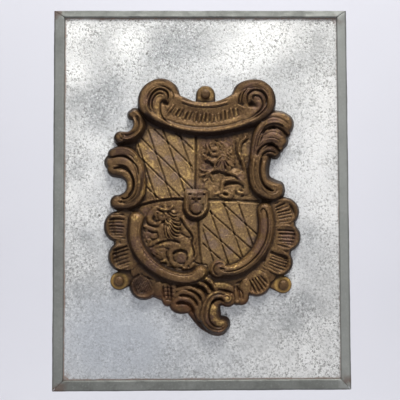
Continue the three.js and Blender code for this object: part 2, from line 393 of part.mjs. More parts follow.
const material = (m) => new THREE.MeshStandardMaterial(m);

// ---------------------------------------------------------------- pieces
const plaque = new THREE.Group();

// backing plate with blind holes for the nails
{
  const w = WIDTH - 2 * (STRIP_WALL + GAP), h = HEIGHT - 2 * (STRIP_WALL + GAP);
  let s = solid(new THREE.BoxGeometry(w, PLATE_T, h).translate(0, -PLATE_T / 2, 0));
  for (const p of Object.values(NAILS)) s = s.subtract(hole(turned(p), LUG_HOLE_R, -PLATE_T - 1, -PLATE_T + NAIL.into + GAP));
  const mesh = new THREE.Mesh(fromSolid(s), material(WHITE_METAL));
  mesh.name = 'backing_plate';
  plaque.add(mesh);
}

// Edging strips: an L-shaped section, side wall and front flange, mitred at both ends.
// The section is drawn inwards from the outer face and up from the wall plane.
function stripGeometry(width, length, mitreStart, mitreEnd) {
  const s = new THREE.Shape();
  s.moveTo(0, 0);
  s.lineTo(STRIP_WALL, 0);
  s.lineTo(STRIP_WALL, PLATE_T + GAP);
  s.lineTo(width, PLATE_T + GAP);
  s.lineTo(width, STRIP_TOP_IN - 0.25);
  s.lineTo(width - 0.3, STRIP_TOP_IN);
  s.lineTo(STRIP_ROUND, STRIP_TOP_OUT);
  const turns = 4;
  for (let i = 1; i <= turns; i++) {
    const a = (i / turns) * Math.PI / 2;
    s.lineTo(STRIP_ROUND * (1 - Math.sin(a)), STRIP_TOP_OUT - STRIP_ROUND * (1 - Math.cos(a)));
  }
  s.closePath();
  const g = new THREE.ExtrudeGeometry(s, { depth: length, steps: 1, bevelEnabled: false });
  const p = g.attributes.position;
  for (let i = 0; i < p.count; i++) {
    const inwards = p.getX(i), z = p.getZ(i);
    p.setZ(i, z < length / 2 ? inwards * mitreStart + GAP / 2 : length - inwards * mitreEnd - GAP / 2);
  }
  return g;
}
// section axes (inwards, up from the wall, along) laid into the plaque's frame
function layStrip(name, geometry, inwards, along, corner) {
  const m = new THREE.Matrix4().makeBasis(inwards, new THREE.Vector3(0, -1, 0), along).setPosition(corner);
  geometry.applyMatrix4(m);
  if (m.determinant() < 0) {
    const p = geometry.attributes.position;
    for (let i = 0; i < p.count; i += 3) {
      const a = [p.getX(i + 1), p.getY(i + 1), p.getZ(i + 1)];
      p.setXYZ(i + 1, p.getX(i + 2), p.getY(i + 2), p.getZ(i + 2)); p.setXYZ(i + 2, ...a);
    }
  }
  geometry.computeVertexNormals();
  const mesh = new THREE.Mesh(geometry, material(GREY_METAL));
  mesh.name = name;
  plaque.add(mesh);
}
{
  const W = STRIP_WIDTH, X = WIDTH / 2, Z = HEIGHT / 2, V = (x, y, z) => new THREE.Vector3(x, y, z);
  layStrip('edge_strip_left', stripGeometry(W.left, HEIGHT, W.bottom / W.left, W.top / W.left), V(1, 0, 0), V(0, 0, 1), V(-X, 0, -Z));
  layStrip('edge_strip_right', stripGeometry(W.right, HEIGHT, W.bottom / W.right, W.top / W.right), V(-1, 0, 0), V(0, 0, 1), V(X, 0, -Z));
  layStrip('edge_strip_top', stripGeometry(W.top, WIDTH, W.left / W.top, W.right / W.top), V(0, 0, -1), V(1, 0, 0), V(-X, 0, Z));
  layStrip('edge_strip_bottom', stripGeometry(W.bottom, WIDTH, W.left / W.bottom, W.right / W.bottom), V(0, 0, 1), V(1, 0, 0), V(-X, 0, -Z));
}

// cartouche and its nails, hung slightly turned
const hung = new THREE.Group();
hung.rotation.y = THREE.MathUtils.degToRad(TURN);
plaque.add(hung);
{
  let s = solid(castingGeometry(reliefHeight, -53.6, 54.8, -73.4, 65, STEP, GAP));
  for (const p of Object.values(NAILS)) s = s.subtract(hole(p, LUG_HOLE_R, -PLATE_T - 9, -PLATE_T));
  const mesh = new THREE.Mesh(fromSolid(s), material(BRASS));
  mesh.name = 'cartouche';
  hung.add(mesh);
}
for (const [name, [x, z]] of Object.entries(NAILS)) {
  // a domed head on a short shank, turned about the shank's axis
  const n = NAIL, profile = [new THREE.Vector2(0, -n.into), new THREE.Vector2(n.shankR * 0.7, -n.into), new THREE.Vector2(n.shankR, -n.into + 0.6),
    new THREE.Vector2(n.shankR, n.under), new THREE.Vector2(n.headR - 0.25, n.under), new THREE.Vector2(n.headR, n.under + 0.3)];
  const steps = 4;
  for (let i = 1; i < steps; i++) {
    const a = (i / steps) * Math.PI / 2;
    profile.push(new THREE.Vector2(n.headR * Math.cos(a), n.under + 0.3 + (n.headH - 0.3) * Math.sin(a)));
  }
  profile.push(new THREE.Vector2(0, n.under + n.headH));
  const g = new THREE.LatheGeometry(profile, 16);
  g.rotateX(Math.PI);                           // axis along the depth, head to the front
  const mesh = new THREE.Mesh(g, material(NAIL_METAL));
  mesh.name = name;
  mesh.position.set(x, -PLATE_T, z);
  hung.add(mesh);
}

export default plaque;
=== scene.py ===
import math

import bpy
import numpy as np
from mathutils import Matrix, Vector
from mathutils.geometry import tessellate_polygon


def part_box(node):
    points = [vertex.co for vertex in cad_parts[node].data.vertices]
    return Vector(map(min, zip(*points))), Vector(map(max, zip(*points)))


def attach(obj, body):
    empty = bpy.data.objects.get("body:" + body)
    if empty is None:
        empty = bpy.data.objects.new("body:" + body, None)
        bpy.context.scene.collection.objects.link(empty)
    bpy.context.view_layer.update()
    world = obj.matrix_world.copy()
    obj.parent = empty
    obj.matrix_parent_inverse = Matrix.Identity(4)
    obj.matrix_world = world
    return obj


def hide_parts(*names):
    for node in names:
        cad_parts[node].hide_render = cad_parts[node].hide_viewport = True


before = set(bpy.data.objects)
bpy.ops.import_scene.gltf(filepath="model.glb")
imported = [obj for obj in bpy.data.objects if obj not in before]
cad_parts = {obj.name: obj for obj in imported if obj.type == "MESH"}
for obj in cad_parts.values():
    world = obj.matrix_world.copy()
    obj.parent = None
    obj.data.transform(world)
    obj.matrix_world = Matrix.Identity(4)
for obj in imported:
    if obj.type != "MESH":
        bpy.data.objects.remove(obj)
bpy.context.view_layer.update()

# Heraldic wall plaque: the looks. Everything below is in metres in the plaque's own frame
# (+Z up, front towards -Y) unless it says millimetres.
MM = 0.001
PLATE_T = 3.0            # mm, front of the backing plate above the wall plane
CAST_GAP = 0.3           # mm, air behind the casting
TURN = math.radians(1.2)  # the casting hangs turned clockwise
CUT = 1.2                # mm, height of the cast edge, where the outline is taken
NAILS = {"nail_top": (1.3, 54.5), "nail_left": (-41.9, -43.8), "nail_right": (43.25, -44.4)}
HOLE_R = 1.3             # mm, nail hole in a lug

scene = bpy.context.scene
scene.view_settings.view_transform = "Standard"
scene.view_settings.look = "None"

# ------------------------------------------------------------------ relief shaping
# Heights are millimetres above the plate's front face, on a grid in the casting's own
# frame: x to the right, z up, turned TURN degrees clockwise on the plate.
SHIELD = {"x": -1.5, "z": -1.5, "a": 33.0, "b": 37.5, "power": 3.6, "height": 3.2, "crown": 2.0}


def curve(points, n):
    """Stations joined by a smooth line, n steps to a span; further columns go along."""
    P = np.asarray(points, float)
    m = len(P)
    if m == 2:
        t = np.linspace(0, 1, n + 1)[:, None]
        return P[0] * (1 - t) + P[1] * t
    out = []
    for i in range(m - 1):
        p0 = P[i - 1] if i > 0 else 2 * P[0] - P[1]
        p1, p2 = P[i], P[i + 1]
        p3 = P[i + 2] if i + 2 < m else 2 * P[-1] - P[-2]
        t = np.linspace(0, 1, n, endpoint=False)[:, None]
        out.append(0.5 * ((2 * p1) + (p2 - p0) * t + (2 * p0 - 5 * p1 + 4 * p2 - p3) * t ** 2 + (3 * p1 - p0 - 3 * p2 + p3) * t ** 3))
    out.append(P[-1:])
    return np.vstack(out)


def smooth_max(a, b, k):
    h = np.maximum(k - np.abs(a - b), 0) / k
    return np.maximum(a, b) + h * h * k * 0.25


def blurred(A, r):
    """Gaussian blur by r grid steps."""
    n = int(3 * r) + 1
    k = np.exp(-np.arange(-n, n + 1) ** 2 / (2 * r * r))
    k /= k.sum()
    for axis in (0, 1):
        B = np.pad(A, [(n, n) if a == axis else (0, 0) for a in (0, 1)], mode="edge")
        out = np.zeros_like(A)
        for i, w in enumerate(k):
            s = [slice(None), slice(None)]
            s[axis] = slice(i, i + A.shape[axis])
            out += w * B[tuple(s)]
        A = out
    return A


def value_noise(X, Z, scale, seed):
    """Smooth noise between -1 and 1 with cells of the given size."""
    rng = np.random.default_rng(seed)
    T = rng.uniform(-1, 1, (256, 256))
    u, v = X / scale + 40.37, Z / scale + 71.91
    i, j = np.floor(u).astype(int), np.floor(v).astype(int)
    a, b = u - i, v - j
    a, b = a * a * (3 - 2 * a), b * b * (3 - 2 * b)
    g = lambda p, q: T[(j + q) % 256, (i + p) % 256]
    return (g(0, 0) * (1 - a) + g(1, 0) * a) * (1 - b) + (g(0, 1) * (1 - a) + g(1, 1) * a) * b


class Relief:
    def __init__(s, step, x0=-54.0, x1=55.0, z0=-74.0, z1=65.0):
        s.step = step
        s.xs = np.arange(x0, x1 + step / 2, step)
        s.zs = np.arange(z0, z1 + step / 2, step)
        s.X, s.Z = np.meshgrid(s.xs, s.zs)
        s.H = np.full(s.X.shape, -6.0)
        u, v = (s.X - SHIELD["x"]) / SHIELD["a"], (s.Z - SHIELD["z"]) / SHIELD["b"]
        n = np.where(v > 0, np.where(u < 0, 9.0, 6.0), SHIELD["power"])
        q = (np.abs(u) ** n + np.abs(v) ** n) ** (1 / n)
        s.F = SHIELD["height"] + SHIELD["crown"] * np.clip(1 - u * u, 0, 1) * np.clip(1 - v * v, 0, 1)
        s.inside = q < 1
        s.H = smooth_max(s.H, np.where(q < 1, s.F, SHIELD["height"] - (q - 1) * 53), 0.4)
        s.body = np.zeros(s.X.shape)       # 1 on lions and other figures
        s.cover = np.zeros(s.X.shape)      # 1 where a moulding covers the field

    def win(s, x0, x1, z0, z1):
        i0 = max(0, int((x0 - s.xs[0]) / s.step))
        i1 = min(len(s.xs), int((x1 - s.xs[0]) / s.step) + 2)
        j0 = max(0, int((z0 - s.zs[0]) / s.step))
        j1 = min(len(s.zs), int((z1 - s.zs[0]) / s.step) + 2)
        return slice(j0, j1), slice(i0, i1)

    def near(s, P, pad, n):
        """Distance to a smooth line, signed offset (left of travel positive), share of
        the way along, further columns there, and the line's length."""
        C = curve(P, n)
        w = s.win(C[:, 0].min() - pad, C[:, 0].max() + pad, C[:, 1].min() - pad, C[:, 1].max() + pad)
        X, Z = s.X[w], s.Z[w]
        best = np.full(X.shape, 1e9)
        side, T = np.ones(X.shape), np.zeros(X.shape)
        A = np.zeros(X.shape + (C.shape[1] - 2,))
        seg = np.hypot(*(C[1:, :2] - C[:-1, :2]).T)
        L = np.concatenate([[0], np.cumsum(seg)])
        for i in range(len(C) - 1):
            a, b = C[i], C[i + 1]
            dx, dz = b[0] - a[0], b[1] - a[1]
            l2 = dx * dx + dz * dz
            if l2 < 1e-12:
                continue
            px, pz = X - a[0], Z - a[1]
            t = np.clip((px * dx + pz * dz) / l2, 0, 1)
            d = np.hypot(px - t * dx, pz - t * dz)
            m = d < best
            best = np.where(m, d, best)
            side = np.where(m, (dx * pz - dz * px) / np.sqrt(l2), side)
            T = np.where(m, (L[i] + t * seg[i]) / L[-1], T)
            if C.shape[1] > 2:
                A = np.where(m[..., None], a[2:] + (b[2:] - a[2:]) * t[..., None], A)
        return w, best, side, T, A, L[-1]

    def moulding(s, e, n=8):
        """A band along a spine of [x, z, half width, height] stations. left, right:
        flank slopes; round: how far the edges drop; beads [place across, half width,
        height]; across in half widths, left of travel positive."""
        P = e["spine"]
        wmax, hmax = max(p[2] for p in P), max(p[3] for p in P)
        left, right = e.get("left", 6.0), e.get("right", 6.0)
        w, d, side, T, A, total = s.near(P, wmax + hmax / min(left, right) + 1, n)
        W, top = A[..., 0], A[..., 1]
        q = d / W
        top = top - e.get("crown", 0.25) * W * np.minimum(q, 1) ** 2 + e.get("tilt", 0) * np.clip(side / W, -1, 1)
        end = np.clip(np.minimum(T, 1 - T) * total / (e.get("fade", 1.0) * wmax), 0, 1)
        for b in e.get("beads", []):
            top = top + b[2] * np.exp(-(((side - b[0] * W) / b[1]) ** 2)) * end * np.clip(1.6 - q, 0, 1) ** 0.5
        if A.shape[-1] > 2:
            right = A[..., 2]
        k = right + (left - right) * (0.5 + 0.5 * np.clip(side / np.maximum(d, 0.05), -1, 1))
        rim = np.minimum(1.0, 0.6 * W)
        E = top - e.get("round", 0.9) * (np.clip(d - (W - rim), 0, rim) / rim) ** 2 - np.maximum(d - W, 0) * k
        s.cover[w] = np.where((E > s.H[w]) & (d < W + 0.8), 1.0, s.cover[w])
        s.H[w] = smooth_max(s.H[w], E, e.get("soft", 0.3))

    def knob(s, e):
        a, b, k, h = e["a"], e["b"], e.get("slope", 6.0), e["h"]
        pad = h / k + 2
        w = s.win(e["x"] - a - pad, e["x"] + a + pad, e["z"] - b - pad, e["z"] + b + pad)
        q = np.hypot((s.X[w] - e["x"]) / a, (s.Z[w] - e["z"]) / b)
        m = min(a, b)
        E = h - e["drop"] * (1 - np.sqrt(np.clip(1 - np.minimum(q, 1) ** 2, 0, 1))) - np.maximum(q - 1, 0) * m * k
        for r in e.get("rings", []):
            E = E + r[2] * np.exp(-(((q * m - r[0]) / r[1]) ** 2))
        if e.get("over", 0):
            E = E + s.F[w]
        s.cover[w] = np.where((E > s.H[w]) & (q < 1.2), 1.0, s.cover[w])
        s.H[w] = smooth_max(s.H[w], E, 0.3)

    def shell(s, e):
        """A scallop: a slightly dished sheet with a thick rounded lip along its outer edge."""
        R, Rz = e["a"], e["b"]
        w = s.win(e["x"] - R - 3, e["x"] + R + 3, e["z"] - Rz - 3, e["z"] + Rz + 3)
        X, Z = s.X[w] - e["x"], s.Z[w] - e["z"]
        m = min(R, Rz)
        t = (1 - np.hypot(X / R, Z / Rz)) * m
        c, n = np.cos(np.radians(e["point"])), np.sin(np.radians(e["point"]))
        out = np.clip(((X * c + Z * n) / m + 0.5) / 0.6, 0, 1)
        E = e.get("h", 4.0) + out * (0.95 * np.exp(-(((t - 1.75) / 1.05) ** 2)) - 0.5 * np.exp(-(((t - 4.0) / 1.2) ** 2)))
        E = E - np.clip((1.5 - t) / 1.5, 0, 1) ** 2 * 2.2 - np.maximum(-t, 0) * 7
        s.cover[w] = np.where((E > s.H[w]) & (t > -0.3), 1.0, s.cover[w])
        s.H[w] = smooth_max(s.H[w], E, 0.6)

    def limb(s, spine, k=1.2, n=6):
        """A rounded limb lying on the field."""
        wmax = max(p[2] for p in spine)
        w, d, side, T, A, total = s.near(spine, wmax * 1.5 + 1, n)
        W, h = A[..., 0], A[..., 1]
        E = s.F[w] - 0.4 + (h + 0.4) * np.sqrt(np.clip(1 - (d / (W * k)) ** 2, 0, 1))
        E = np.where(d < W * k, E, -9)
        s.body[w] = np.maximum(s.body[w], np.clip(1.15 - d / (W * k), 0, 1))
        s.H[w] = smooth_max(s.H[w], E, 0.25)

    def line(s, P, width, height, taper=1.2, where=None, n=6):
        """Adds a fine ridge, or with a negative height cuts a groove."""
        P = [list(p[:2]) + [p[2] if len(p) > 2 else 1.0] for p in P]
        w, d, side, T, A, total = s.near(P, width * 2.4 + 0.5, n)
        g = np.exp(-((d / (width * A[..., 0])) ** 2))
        if taper > 0:
            g = g * np.clip(np.minimum(T, 1 - T) * total / taper, 0.0, 1) ** 0.5
        if where is not None:
            g = g * where[w]
        s.H[w] = s.H[w] + height * g

    def pit(s, x, z, r, depth, rz=None):
        rz = rz or r
        w = s.win(x - 3 * r, x + 3 * r, z - 3 * rz, z + 3 * rz)
        s.H[w] = s.H[w] - depth * np.exp(-(((s.X[w] - x) / r) ** 2 + ((s.Z[w] - z) / rz) ** 2))


# ------------------------------------------------------------------ the casting's parts
WEB = [
    {"spine": [[-39, -13, 6.0, 3.9], [-38.5, -24, 5.3, 4.0], [-37.6, -32.5, 5.3, 3.9]]},
    {"spine": [[40.5, -6, 6.0, 4.0], [41.6, -14, 6.6, 4.1], [40.5, -27, 5.6, 4.0], [38.6, -34, 5.0, 3.9]]},
    {"spine": [[-31, -38.6, 4.6, 3.5], [-26, -44, 5.0, 3.6], [-14, -49, 5.4, 3.4], [-4, -53, 5.4, 3.2], [2, -56, 5.0, 3.2]]},
    {"spine": [[-4, -44, 5, 3.4], [10, -46, 5.8, 3.5], [24, -43.5, 6, 3.6], [34, -38, 5.5, 3.7]]},
    {"spine": [[-36, 26, 5, 2.6], [-36, 18, 5, 2.6], [-33, 8, 3, 2.6], [-36, -4, 5, 2.6], [-38, -8, 5, 3.0]]},
    {"spine": [[-27, 37, 4, 3.0], [-30, 28, 3, 3.0]]},
    {"spine": [[24, 36, 3, 3.2], [31, 44, 5, 2.6], [33, 30, 6, 2.6], [30, 18, 3, 2.6], [32, 4, 4.5, 2.6]]},
]
SHELLS = [
    {"x": -43.6, "z": -15.6, "a": 7.0, "b": 8.0, "point": 178},
    {"x": -41.0, "z": -31.2, "a": 7.0, "b": 7.6, "point": 200},
    {"x": -29.0, "z": -46.4, "a": 7.6, "b": 7.1, "point": 238, "h": 3.8},
    {"x": 29.6, "z": -43.4, "a": 7.4, "b": 7.4, "point": -58, "h": 3.9},
    {"x": 40.9, "z": -32.8, "a": 7.5, "b": 7.3, "point": -28},
    {"x": 44.2, "z": -19.6, "a": 8.1, "b": 7.9, "point": -2},
    {"x": 43.4, "z": -6.4, "a": 8.0, "b": 7.7, "point": 12},
]
# flutes, valleys and ribs on the shells: [half width, height, stations...]
FLUTES = [
    # upper right
    [0.40, -0.55, [38.0, -2.8], [39.8, -1.7], [41.6, -0.9]],
    [0.46, -0.85, [38.2, -4.6], [41, -3.3], [43.8, -2.0]],
    [0.46, -0.95, [38.6, -5.9], [42, -4.7], [45.8, -3.3]],
    [0.46, -0.85, [39.2, -7.3], [43, -6.3], [46.9, -5.2]],
    [0.42, -0.6, [39.8, -8.8], [43.4, -7.9], [47.4, -7.0]],
    [0.40, -0.5, [40.2, -10.3], [44, -9.5], [47.6, -8.8]],
    [0.40, -0.5, [40.2, -12.0], [43.8, -11.6], [47.0, -10.8]],
    [0.55, -0.5, [45.6, -2.4], [47.7, -4.9], [48.6, -7.8], [48.3, -10.4], [46.6, -12.3]],
    [0.45, 0.35, [40.0, -5.2], [43.2, -4.2], [46.2, -3.2]],
    # middle right
    [0.50, -1.0, [39.6, -16.1], [44, -16.1], [48.8, -16.5]],
    [0.50, -1.0, [40.4, -18.0], [45, -18.0], [49.3, -18.2]],
    [0.44, -0.6, [40.0, -19.9], [44.5, -20.1], [48.9, -20.3]],
    [0.44, -0.65, [40.2, -21.6], [44.5, -21.9], [48.6, -22.1]],
    [0.46, -0.75, [39.6, -23.5], [43.2, -24.3], [46.6, -25.5]],
    [0.40, -0.5, [43.0, -22.9], [46.0, -23.3], [48.6, -23.6]],
    [0.55, -0.45, [48.6, -15.2], [50.2, -18.2], [50.0, -21.6], [48.0, -24.8]],
    [0.6, 0.35, [38.4, -14.0], [42.5, -13.8], [47.6, -13.6]],
    [0.8, 0.3, [37.4, -26.2], [40.4, -26.2], [43.6, -26.9]],
    # lower right: the dark valley, then fine slanting flutes
    [0.85, -1.5, [36.2, -27.3], [38.2, -28.2], [41.4, -29.3], [45.4, -30.8]],
    [0.40, -0.8, [36.8, -29.5], [41, -30.9], [45.6, -32.3]],
    [0.40, -0.75, [36.0, -30.8], [41, -32.5], [45.4, -33.7]],
    [0.40, -0.75, [35.6, -32.1], [40.4, -34.0], [44.8, -35.1]],
    [0.40, -0.7, [35.6, -33.6], [39.6, -35.5], [43.8, -36.6]],
    [0.40, -0.65, [35.2, -35.2], [38.8, -37.0], [42.2, -38.0]],
    [0.40, -0.5, [34.0, -36.2], [36.8, -38.2], [39.6, -39.2]],
    [0.50, -0.5, [46.2, -31.6], [46.9, -34], [45.2, -37], [42, -39.2], [38.6, -40.3]],
    [0.34, -0.35, [32.6, -34.0], [34.6, -35.6]], [0.34, -0.35, [32.0, -35.4], [34.2, -37.2]], [0.34, -0.35, [31.6, -37.0], [33.8, -38.8]],
    # bottom right
    [0.42, -0.75, [24.2, -43.2], [25.9, -46.2], [27.2, -49.0]],
    [0.42, -0.85, [25.4, -42.0], [27.6, -45.6], [29.4, -49.2]],
    [0.42, -0.9, [26.8, -41.2], [29.2, -44.8], [31.4, -48.4]],
    [0.42, -0.9, [28.2, -40.6], [30.8, -44.2], [33.0, -47.4]],
    [0.42, -0.85, [29.7, -40.1], [32.2, -43.2], [34.4, -46.0]],
    [0.42, -0.75, [31.2, -39.6], [33.4, -42.0], [35.4, -44.2]],
    [0.36, 0.3, [26.1, -42.0], [28.4, -45.4], [30.4, -48.8]],
    [0.36, 0.3, [29.0, -40.6], [31.6, -43.8], [33.8, -46.8]],
    # upper left
    [0.50, -0.75, [-46.4, -9.9], [-43, -9.6], [-39.8, -9.3]],
    [0.52, -1.1, [-48.1, -12.4], [-44.4, -11.7], [-39.4, -11.9]],
    [0.44, -0.65, [-48.2, -13.9], [-44, -13.6], [-40.2, -13.7]],
    [0.48, -0.9, [-47.7, -15.5], [-44, -15.4], [-39.6, -15.6]],
    [0.42, -0.6, [-47.6, -17.1], [-44, -17.0], [-40.0, -17.2]],
    [0.42, -0.6, [-47.2, -18.6], [-43, -18.6], [-40.0, -18.8]],
    [0.40, -0.5, [-46.6, -20.0], [-43, -20.1], [-40.0, -20.3]],
    [0.40, -0.45, [-45.6, -21.3], [-42, -21.6], [-38.6, -21.7]],
    [0.55, -0.45, [-46.9, -10.2], [-48.8, -13.2], [-49.2, -17], [-48, -20.2], [-46.2, -22.2]],
    [0.5, -0.5, [-42.6, -23.2], [-41.6, -23.8], [-41.8, -24.6]],
    # lower left: slanting flutes that cross finer ones
    [0.60, -1.2, [-45.4, -28.2], [-42, -27.1], [-37.6, -25.6]],
    [0.50, -0.95, [-45.8, -30.3], [-42, -29.0], [-36.8, -27.3]],
    [0.46, -0.8, [-45.4, -32.6], [-42, -31.1], [-37.2, -29.5]],
    [0.42, -0.6, [-44.4, -34.3], [-41, -33.0], [-36.8, -31.5]],
    [0.42, -0.55, [-43.2, -35.7], [-40, -34.6], [-36.4, -33.4]],
    [0.40, -0.5, [-41.6, -36.8], [-39, -36.0], [-36.2, -35.2]],
    [0.36, -0.18, [-43.8, -29.8], [-42.6, -32.4], [-41.4, -35.6]],
    [0.36, -0.18, [-41.8, -29.2], [-40.8, -31.8], [-39.6, -35.0]],
    [0.36, -0.18, [-39.8, -28.6], [-38.8, -31.2], [-37.8, -34.2]],
    [0.50, 0.5, [-46.2, -29.8], [-45.0, -34.6], [-41.4, -37.7], [-37.2, -38.1], [-35.4, -38.6]],
    [0.45, -0.4, [-45.2, -33.4], [-43.2, -36.0], [-40.4, -37.0]],
    # bottom left: a cross-hatched shell
    [0.34, -0.7, [-34.2, -42.8], [-32.7, -46.0], [-30.6, -50.8]],
    [0.34, -0.7, [-32.8, -41.9], [-31.2, -45.2], [-29.0, -50.5]],
    [0.34, -0.7, [-31.4, -41.2], [-29.7, -44.5], [-27.4, -49.9]],
    [0.34, -0.7, [-29.8, -40.8], [-28.0, -44.2], [-25.9, -48.9]],
    [0.40, -0.75, [-34.8, -43.6], [-33.4, -46.6], [-31.4, -50.6]],
    [0.40, -0.75, [-33.4, -42.4], [-31.9, -45.6], [-29.8, -50.6]],
    [0.40, -0.75, [-32.0, -41.6], [-30.4, -44.8], [-28.2, -50.2]],
    [0.40, -0.75, [-30.6, -41.0], [-28.8, -44.4], [-26.6, -49.4]],
    [0.40, -0.55, [-29.0, -40.8], [-27.2, -44.0], [-25.2, -48.2]],
    [0.40, -0.5, [-27.4, -41.0], [-25.8, -43.6], [-24.4, -46.4]],
    [0.36, -0.18, [-34.6, -47.2], [-30, -44.4], [-26.0, -42.0]],
    [0.36, -0.18, [-33.8, -49.0], [-29, -46.2], [-24.8, -43.8]],
    [0.36, -0.18, [-32.0, -50.2], [-28, -47.9], [-24.2, -45.8]],
    [0.7, -1.0, [-35.6, -41.6], [-33.6, -41.8], [-31.2, -40.0]],
]
LUGS = [
    {"spine": [[1.35, 54.4, 4.7, 2.6], [1.35, 50, 4.9, 2.6]]},
    {"spine": [[-41.8, -43.8, 4.5, 2.5], [-37, -41.5, 4.2, 2.6]]},
    {"spine": [[43.3, -44.4, 4.3, 2.5], [38.5, -42.5, 4.0, 2.6]]},
]
FOOT_KNOBS = [
    {"x": -9.2, "z": -56.2, "a": 5.8, "b": 3.9, "h": 5.0, "drop": 1.5},
    {"x": -21.2, "z": -47.4, "a": 3.0, "b": 3.8, "h": 4.7, "drop": 1.0, "slope": 4},
    {"x": 23.6, "z": -45.6, "a": 2.8, "b": 4.2, "h": 4.9, "drop": 1.0, "slope": 4},
    {"x": 14.6, "z": -52.2, "a": 3.9, "b": 3.9, "h": 5.2, "drop": 1.4},
    {"x": 21.5, "z": -51.2, "a": 3.9, "b": 3.9, "h": 4.7, "drop": 1.2},
]
FOOT = [
    {"spine": [[-17.8, -46.6, 3.0, 4.5], [-17.3, -51, 2.9, 4.4], [-16.6, -53.8, 2.6, 4.1]], "crown": 0.2},
    {"spine": [[-13.4, -45.8, 1.9, 4.5], [-13.4, -50, 1.8, 4.4], [-13.8, -54.2, 1.6, 4.2]], "crown": 0.3},
    {"spine": [[-11.6, -47.6, 1.3, 4.8], [-6.8, -46.4, 1.4, 5.4], [-2.6, -47.5, 1.5, 5.7], [1.0, -50.2, 1.5, 5.7], [2.6, -54.4, 1.4, 5.4], [2.4, -58.5, 1.2, 5.2]], "crown": 0.3, "left": 2.4},
    {"spine": [[-12.6, -50.8, 1.3, 4.9], [-9.2, -49.0, 1.5, 5.5], [-5.0, -49.5, 1.6, 5.9], [-1.5, -51.9, 1.6, 5.9], [0.3, -55.6, 1.5, 5.7], [0.8, -60, 1.4, 5.4]], "crown": 0.3},
    {"spine": [[-13.2, -53.8, 1.4, 4.9], [-9.8, -52.0, 1.7, 5.6], [-5.6, -52.7, 1.8, 5.9], [-2.6, -55.0, 1.7, 5.8], [-1.0, -58.8, 1.7, 5.6], [0.6, -62.2, 1.9, 5.4]], "crown": 0.3},
    {"spine": [[-0.6, -44.0, 1.2, 4.8], [2.6, -45.4, 1.2, 5.2], [5.0, -48.4, 1.2, 5.4]], "crown": 0.2},
    {"spine": [[3.4, -41.8, 1.2, 4.6], [6.2, -44.0, 1.3, 5.0], [8.4, -47.2, 1.3, 5.4]], "crown": 0.2},
    {"spine": [[8.0, -45.4, 2.0, 4.6], [12.6, -45.6, 2.2, 4.8], [16.4, -46.8, 1.9, 4.9]], "crown": 0.2},
    {"spine": [[17.0, -46.4, 1.2, 4.9], [18.8, -49.6, 1.1, 5.0], [19.4, -53.0, 1.3, 4.9]], "crown": 0.2},
    {"spine": [[13.9, -50.6, 1.5, 5.8, 3.2], [10.8, -49.7, 1.7, 6.2, 3.2], [7.2, -50.3, 1.8, 6.5, 2.8], [4.6, -53.0, 1.8, 6.7, 2.4], [3.1, -57.0, 1.9, 6.9, 1.6], [2.7, -61.2, 1.9, 6.9, 1.42],
               [4.2, -65.0, 1.6, 6.8, 2.3], [7.6, -67.3, 1.3, 6.6, 1.9], [11.2, -67.5, 1.2, 6.2, 1.8], [13.9, -65.5, 1.2, 5.4, 2.8]],
     "left": 4.0, "round": 0.4, "beads": [[-0.85, 0.45, 0.45], [-0.1, 0.55, -0.75], [0.75, 0.4, 0.25]]},
    {"spine": [[12.6, -53.0, 1.2, 4.4], [9.6, -53.5, 1.8, 5.0], [7.3, -55.8, 2.5, 5.6], [6.6, -59.2, 2.8, 5.9], [7.5, -62.7, 2.8, 6.1], [10.0, -64.6, 2.4, 5.9], [13.0, -64.7, 1.9, 5.3]],
     "crown": 0.3, "left": 1.6, "right": 2.6},
    {"spine": [[-5.4, -58.4, 1.4, 3.4], [-2.2, -62.2, 1.6, 3.4], [1.5, -66.2, 1.6, 3.4], [5.6, -69.0, 1.3, 3.2]], "crown": 0.2},
]
